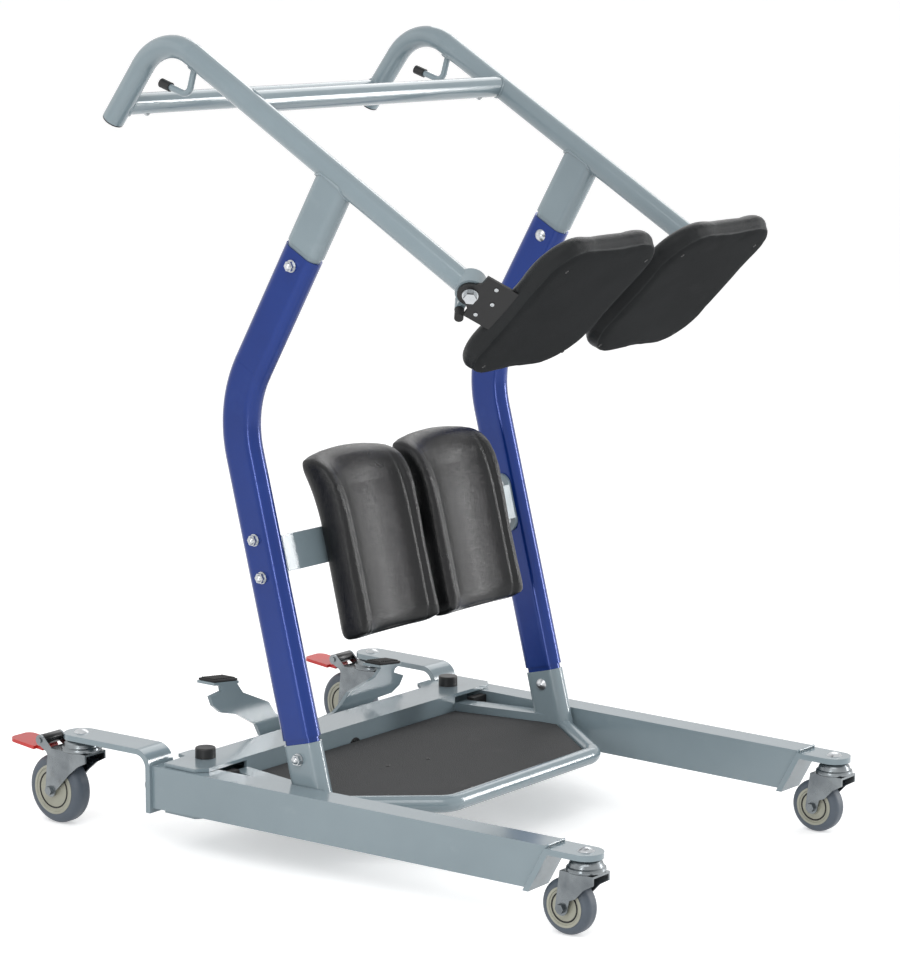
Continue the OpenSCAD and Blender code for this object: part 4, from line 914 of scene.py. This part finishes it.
@dataclass
class Wheels:
    """Dark rings in the hubs of the four wheels, one on each face."""

    front: tuple[float, float, float] = (0.45532, 0.30071, 0.0375)
    rear: tuple[float, float, float] = (-0.42462, 0.32551, 0.05)
    front_face: float = 0.0120
    rear_face: float = 0.0140
    front_ring: float = 0.0197
    rear_ring: float = 0.0266
    wire: float = 0.0011
    stretch: float = 1.15

    def build(self, wardrobe: Wardrobe) -> None:
        """Make the rings of each wheel and put them on it."""
        for name, place, face, ring in (("front", self.front, self.front_face, self.front_ring),
                                        ("rear", self.rear, self.rear_face, self.rear_ring)):
            for side, sign in SIDES.items():
                middle = Vector((place[0], sign * place[1], place[2]))
                rings = [self._ring(middle + Vector((0, k * face, 0)), ring) for k in (-1, 1)]
                piece = join(rings, f"{name}_hub_rings_{side}")
                smooth(piece, BEAD_ANGLE)
                wardrobe.dress(piece, "black_rubber", f"{name}_wheel_{side}")

    def _ring(self, place: Vector, radius: float) -> bpy.types.Object:
        """Model one ring round the axle, slightly stretched along it."""
        deselect()
        bpy.ops.mesh.primitive_torus_add(location=place, rotation=(math.pi / 2, 0, 0),
                                         major_radius=radius, minor_radius=self.wire,
                                         major_segments=64, minor_segments=10)
        ring = bpy.context.object
        ring.scale = (1.0, 1.0, self.stretch)
        settle(ring)
        return ring


@dataclass
class BrakeSleeves:
    """Dark sleeves on the pins that the brake pedals turn on."""

    pin: tuple[float, float, float] = (-0.44362, 0.32551, 0.120)
    radius: float = 0.0079
    length: float = 0.041
    collar: float = 0.0016
    edge: float = 0.0007

    def build(self, wardrobe: Wardrobe) -> None:
        """Model the left sleeve, mirror it, and put each on its brake."""
        deselect()
        bpy.ops.mesh.primitive_cylinder_add(vertices=40, radius=self.radius, depth=self.length,
                                            location=self.pin, rotation=(math.pi / 2, 0, 0))
        left = bpy.context.object
        left.name = left.data.name = "brake_sleeve_left"
        settle(left)
        edit_faces(left, lambda normal: abs(normal.y) > SQUARE)
        bpy.ops.mesh.inset(thickness=self.collar, depth=0.0, use_individual=True)
        bpy.ops.mesh.inset(thickness=self.collar, depth=-self.collar, use_individual=True)
        bpy.ops.object.mode_set(mode="OBJECT")
        bevel(left, self.edge)
        for piece, side in both(left, "brake_sleeve"):
            smooth(piece)
            wardrobe.dress(piece, "hinge_black", f"brake_{side}")


@dataclass
class Studio:
    """Pale floor, soft light and the camera at the photograph's angle."""

    eye: tuple[float, float, float] = (2.7299, -3.4690, 1.2521)
    azimuth: float = 37.913
    elevation: float = 9.685
    lens: float = 119.81
    sensor: float = 36.0
    far: float = 300.0
    aim: tuple[float, float, float] = (0.0, 0.0, 0.5)
    floor_size: float = 240.0
    floor_drop: float = 0.0002
    floor_tone: float = 0.93
    floor_rough: float = 0.75
    floor_specular: float = 0.15
    floor_lift: float = 0.42
    world_light: float = 0.6

    def build(self) -> None:
        """Make the camera, lamps, floor and world."""
        self._camera()
        self._floor()
        self._world()
        self._lamp("key_lamp", (1.6, -2.4, 3.6), (2.6, 2.6), 56.0)
        self._lamp("fill_lamp", (-3.0, -2.2, 2.4), (3.0, 3.0), 12.0)
        self._lamp("front_strip_lamp", (0.72, -3.6, 0.85), (0.4, 1.5), 17.0)
        self._lamp("strip_lamp", (2.63, 3.18, 1.15), (0.5, 2.0), 62.0)
        self._lamp("rim_lamp", (-1.2, 3.2, 3.0), (2.4, 2.4), 30.0)
        bpy.context.scene.view_settings.view_transform = "Standard"

    def _camera(self) -> None:
        """Stand the camera where the photograph was taken."""
        data = bpy.data.cameras.new("photo_camera")
        data.lens = self.lens
        data.sensor_fit = "VERTICAL"
        data.sensor_height = self.sensor
        data.clip_end = self.far
        camera = bpy.data.objects.new("photo_camera", data)
        bpy.context.scene.collection.objects.link(camera)
        az, el = math.radians(self.azimuth), math.radians(self.elevation)
        ahead = Vector((-math.cos(el) * math.sin(az), math.cos(el) * math.cos(az), -math.sin(el)))
        camera.location = self.eye
        camera.rotation_euler = ahead.to_track_quat("-Z", "Y").to_euler()
        bpy.context.scene.camera = camera

    def _floor(self) -> None:
        """Lay a wide pale floor, lifted to white for the rays that show it."""
        deselect()
        bpy.ops.mesh.primitive_plane_add(size=self.floor_size, location=(0, 0, -self.floor_drop))
        floor = bpy.context.object
        floor.name = "studio_floor"
        material = bpy.data.materials.new("studio_pale")
        material.use_nodes = True
        nodes, links = material.node_tree.nodes, material.node_tree.links
        shader = nodes["Principled BSDF"]
        shader.inputs["Base Color"].default_value = (self.floor_tone,) * 3 + (1.0,)
        shader.inputs["Roughness"].default_value = self.floor_rough
        shader.inputs["Specular IOR Level"].default_value = self.floor_specular
        shader.inputs["Emission Color"].default_value = (1.0, 1.0, 1.0, 1.0)
        lift = nodes.new("ShaderNodeMath")
        lift.operation = "MULTIPLY"
        lift.inputs[1].default_value = self.floor_lift
        links.new(self._seen(material.node_tree), lift.inputs[0])
        links.new(lift.outputs["Value"], shader.inputs["Emission Strength"])
        floor.data.materials.append(material)
        LOG.info("floor laid")

    def _world(self) -> None:
        """Light from all round, seen as white by the camera and in gloss."""
        world = bpy.data.worlds.new("studio_world")
        bpy.context.scene.world = world
        world.use_nodes = True
        nodes, links = world.node_tree.nodes, world.node_tree.links
        back = nodes["Background"]
        back.inputs["Color"].default_value = (1.0, 1.0, 1.0, 1.0)
        level = nodes.new("ShaderNodeMapRange")
        level.inputs["To Min"].default_value = self.world_light
        level.inputs["To Max"].default_value = 1.0
        links.new(self._seen(world.node_tree), level.inputs["Value"])
        links.new(level.outputs["Result"], back.inputs["Strength"])

    @staticmethod
    def _seen(tree: bpy.types.NodeTree) -> bpy.types.NodeSocket:
        """Value that is 1 for rays which show the background: straight, in gloss or through glass."""
        path = tree.nodes.new("ShaderNodeLightPath")
        value = path.outputs["Is Camera Ray"]
        for ray in ("Is Glossy Ray", "Is Transmission Ray"):
            either = tree.nodes.new("ShaderNodeMath")
            either.operation = "MAXIMUM"
            tree.links.new(value, either.inputs[0])
            tree.links.new(path.outputs[ray], either.inputs[1])
            value = either.outputs["Value"]
        return value

    def _lamp(self, name: str, place: tuple[float, float, float], size: tuple[float, float],
              power: float) -> None:
        """Hang one soft lamp of the given width and height that faces the object.

        Args:
            name: Name of the lamp.
            place: Where its middle is.
            size: Width and height.
            power: Watts.
        """
        data = bpy.data.lights.new(name, "AREA")
        data.shape = "RECTANGLE"
        data.size, data.size_y = size
        data.energy = power
        lamp = bpy.data.objects.new(name, data)
        lamp.visible_camera = False
        bpy.context.scene.collection.objects.link(lamp)
        lamp.location = place
        ahead = Vector(self.aim) - Vector(place)
        lamp.rotation_euler = ahead.to_track_quat("-Z", "Y").to_euler()


def main() -> None:
    """Build the studio and dress the object, sub-assembly by sub-assembly."""
    logging.basicConfig(level=logging.INFO)
    Studio().build()
    wardrobe = Wardrobe()
    wardrobe.stock(Fields())
    wardrobe.dress_nodes()
    skins = Pads().build(wardrobe)
    Welds().build(wardrobe)
    LegSeams().build(wardrobe)
    Screws().build(wardrobe, skins["seat_pad_skin_left"])
    Pedals().build(wardrobe)
    Wheels().build(wardrobe)
    BrakeSleeves().build(wardrobe)
    deselect()


if __name__ == "__main__":
    main()
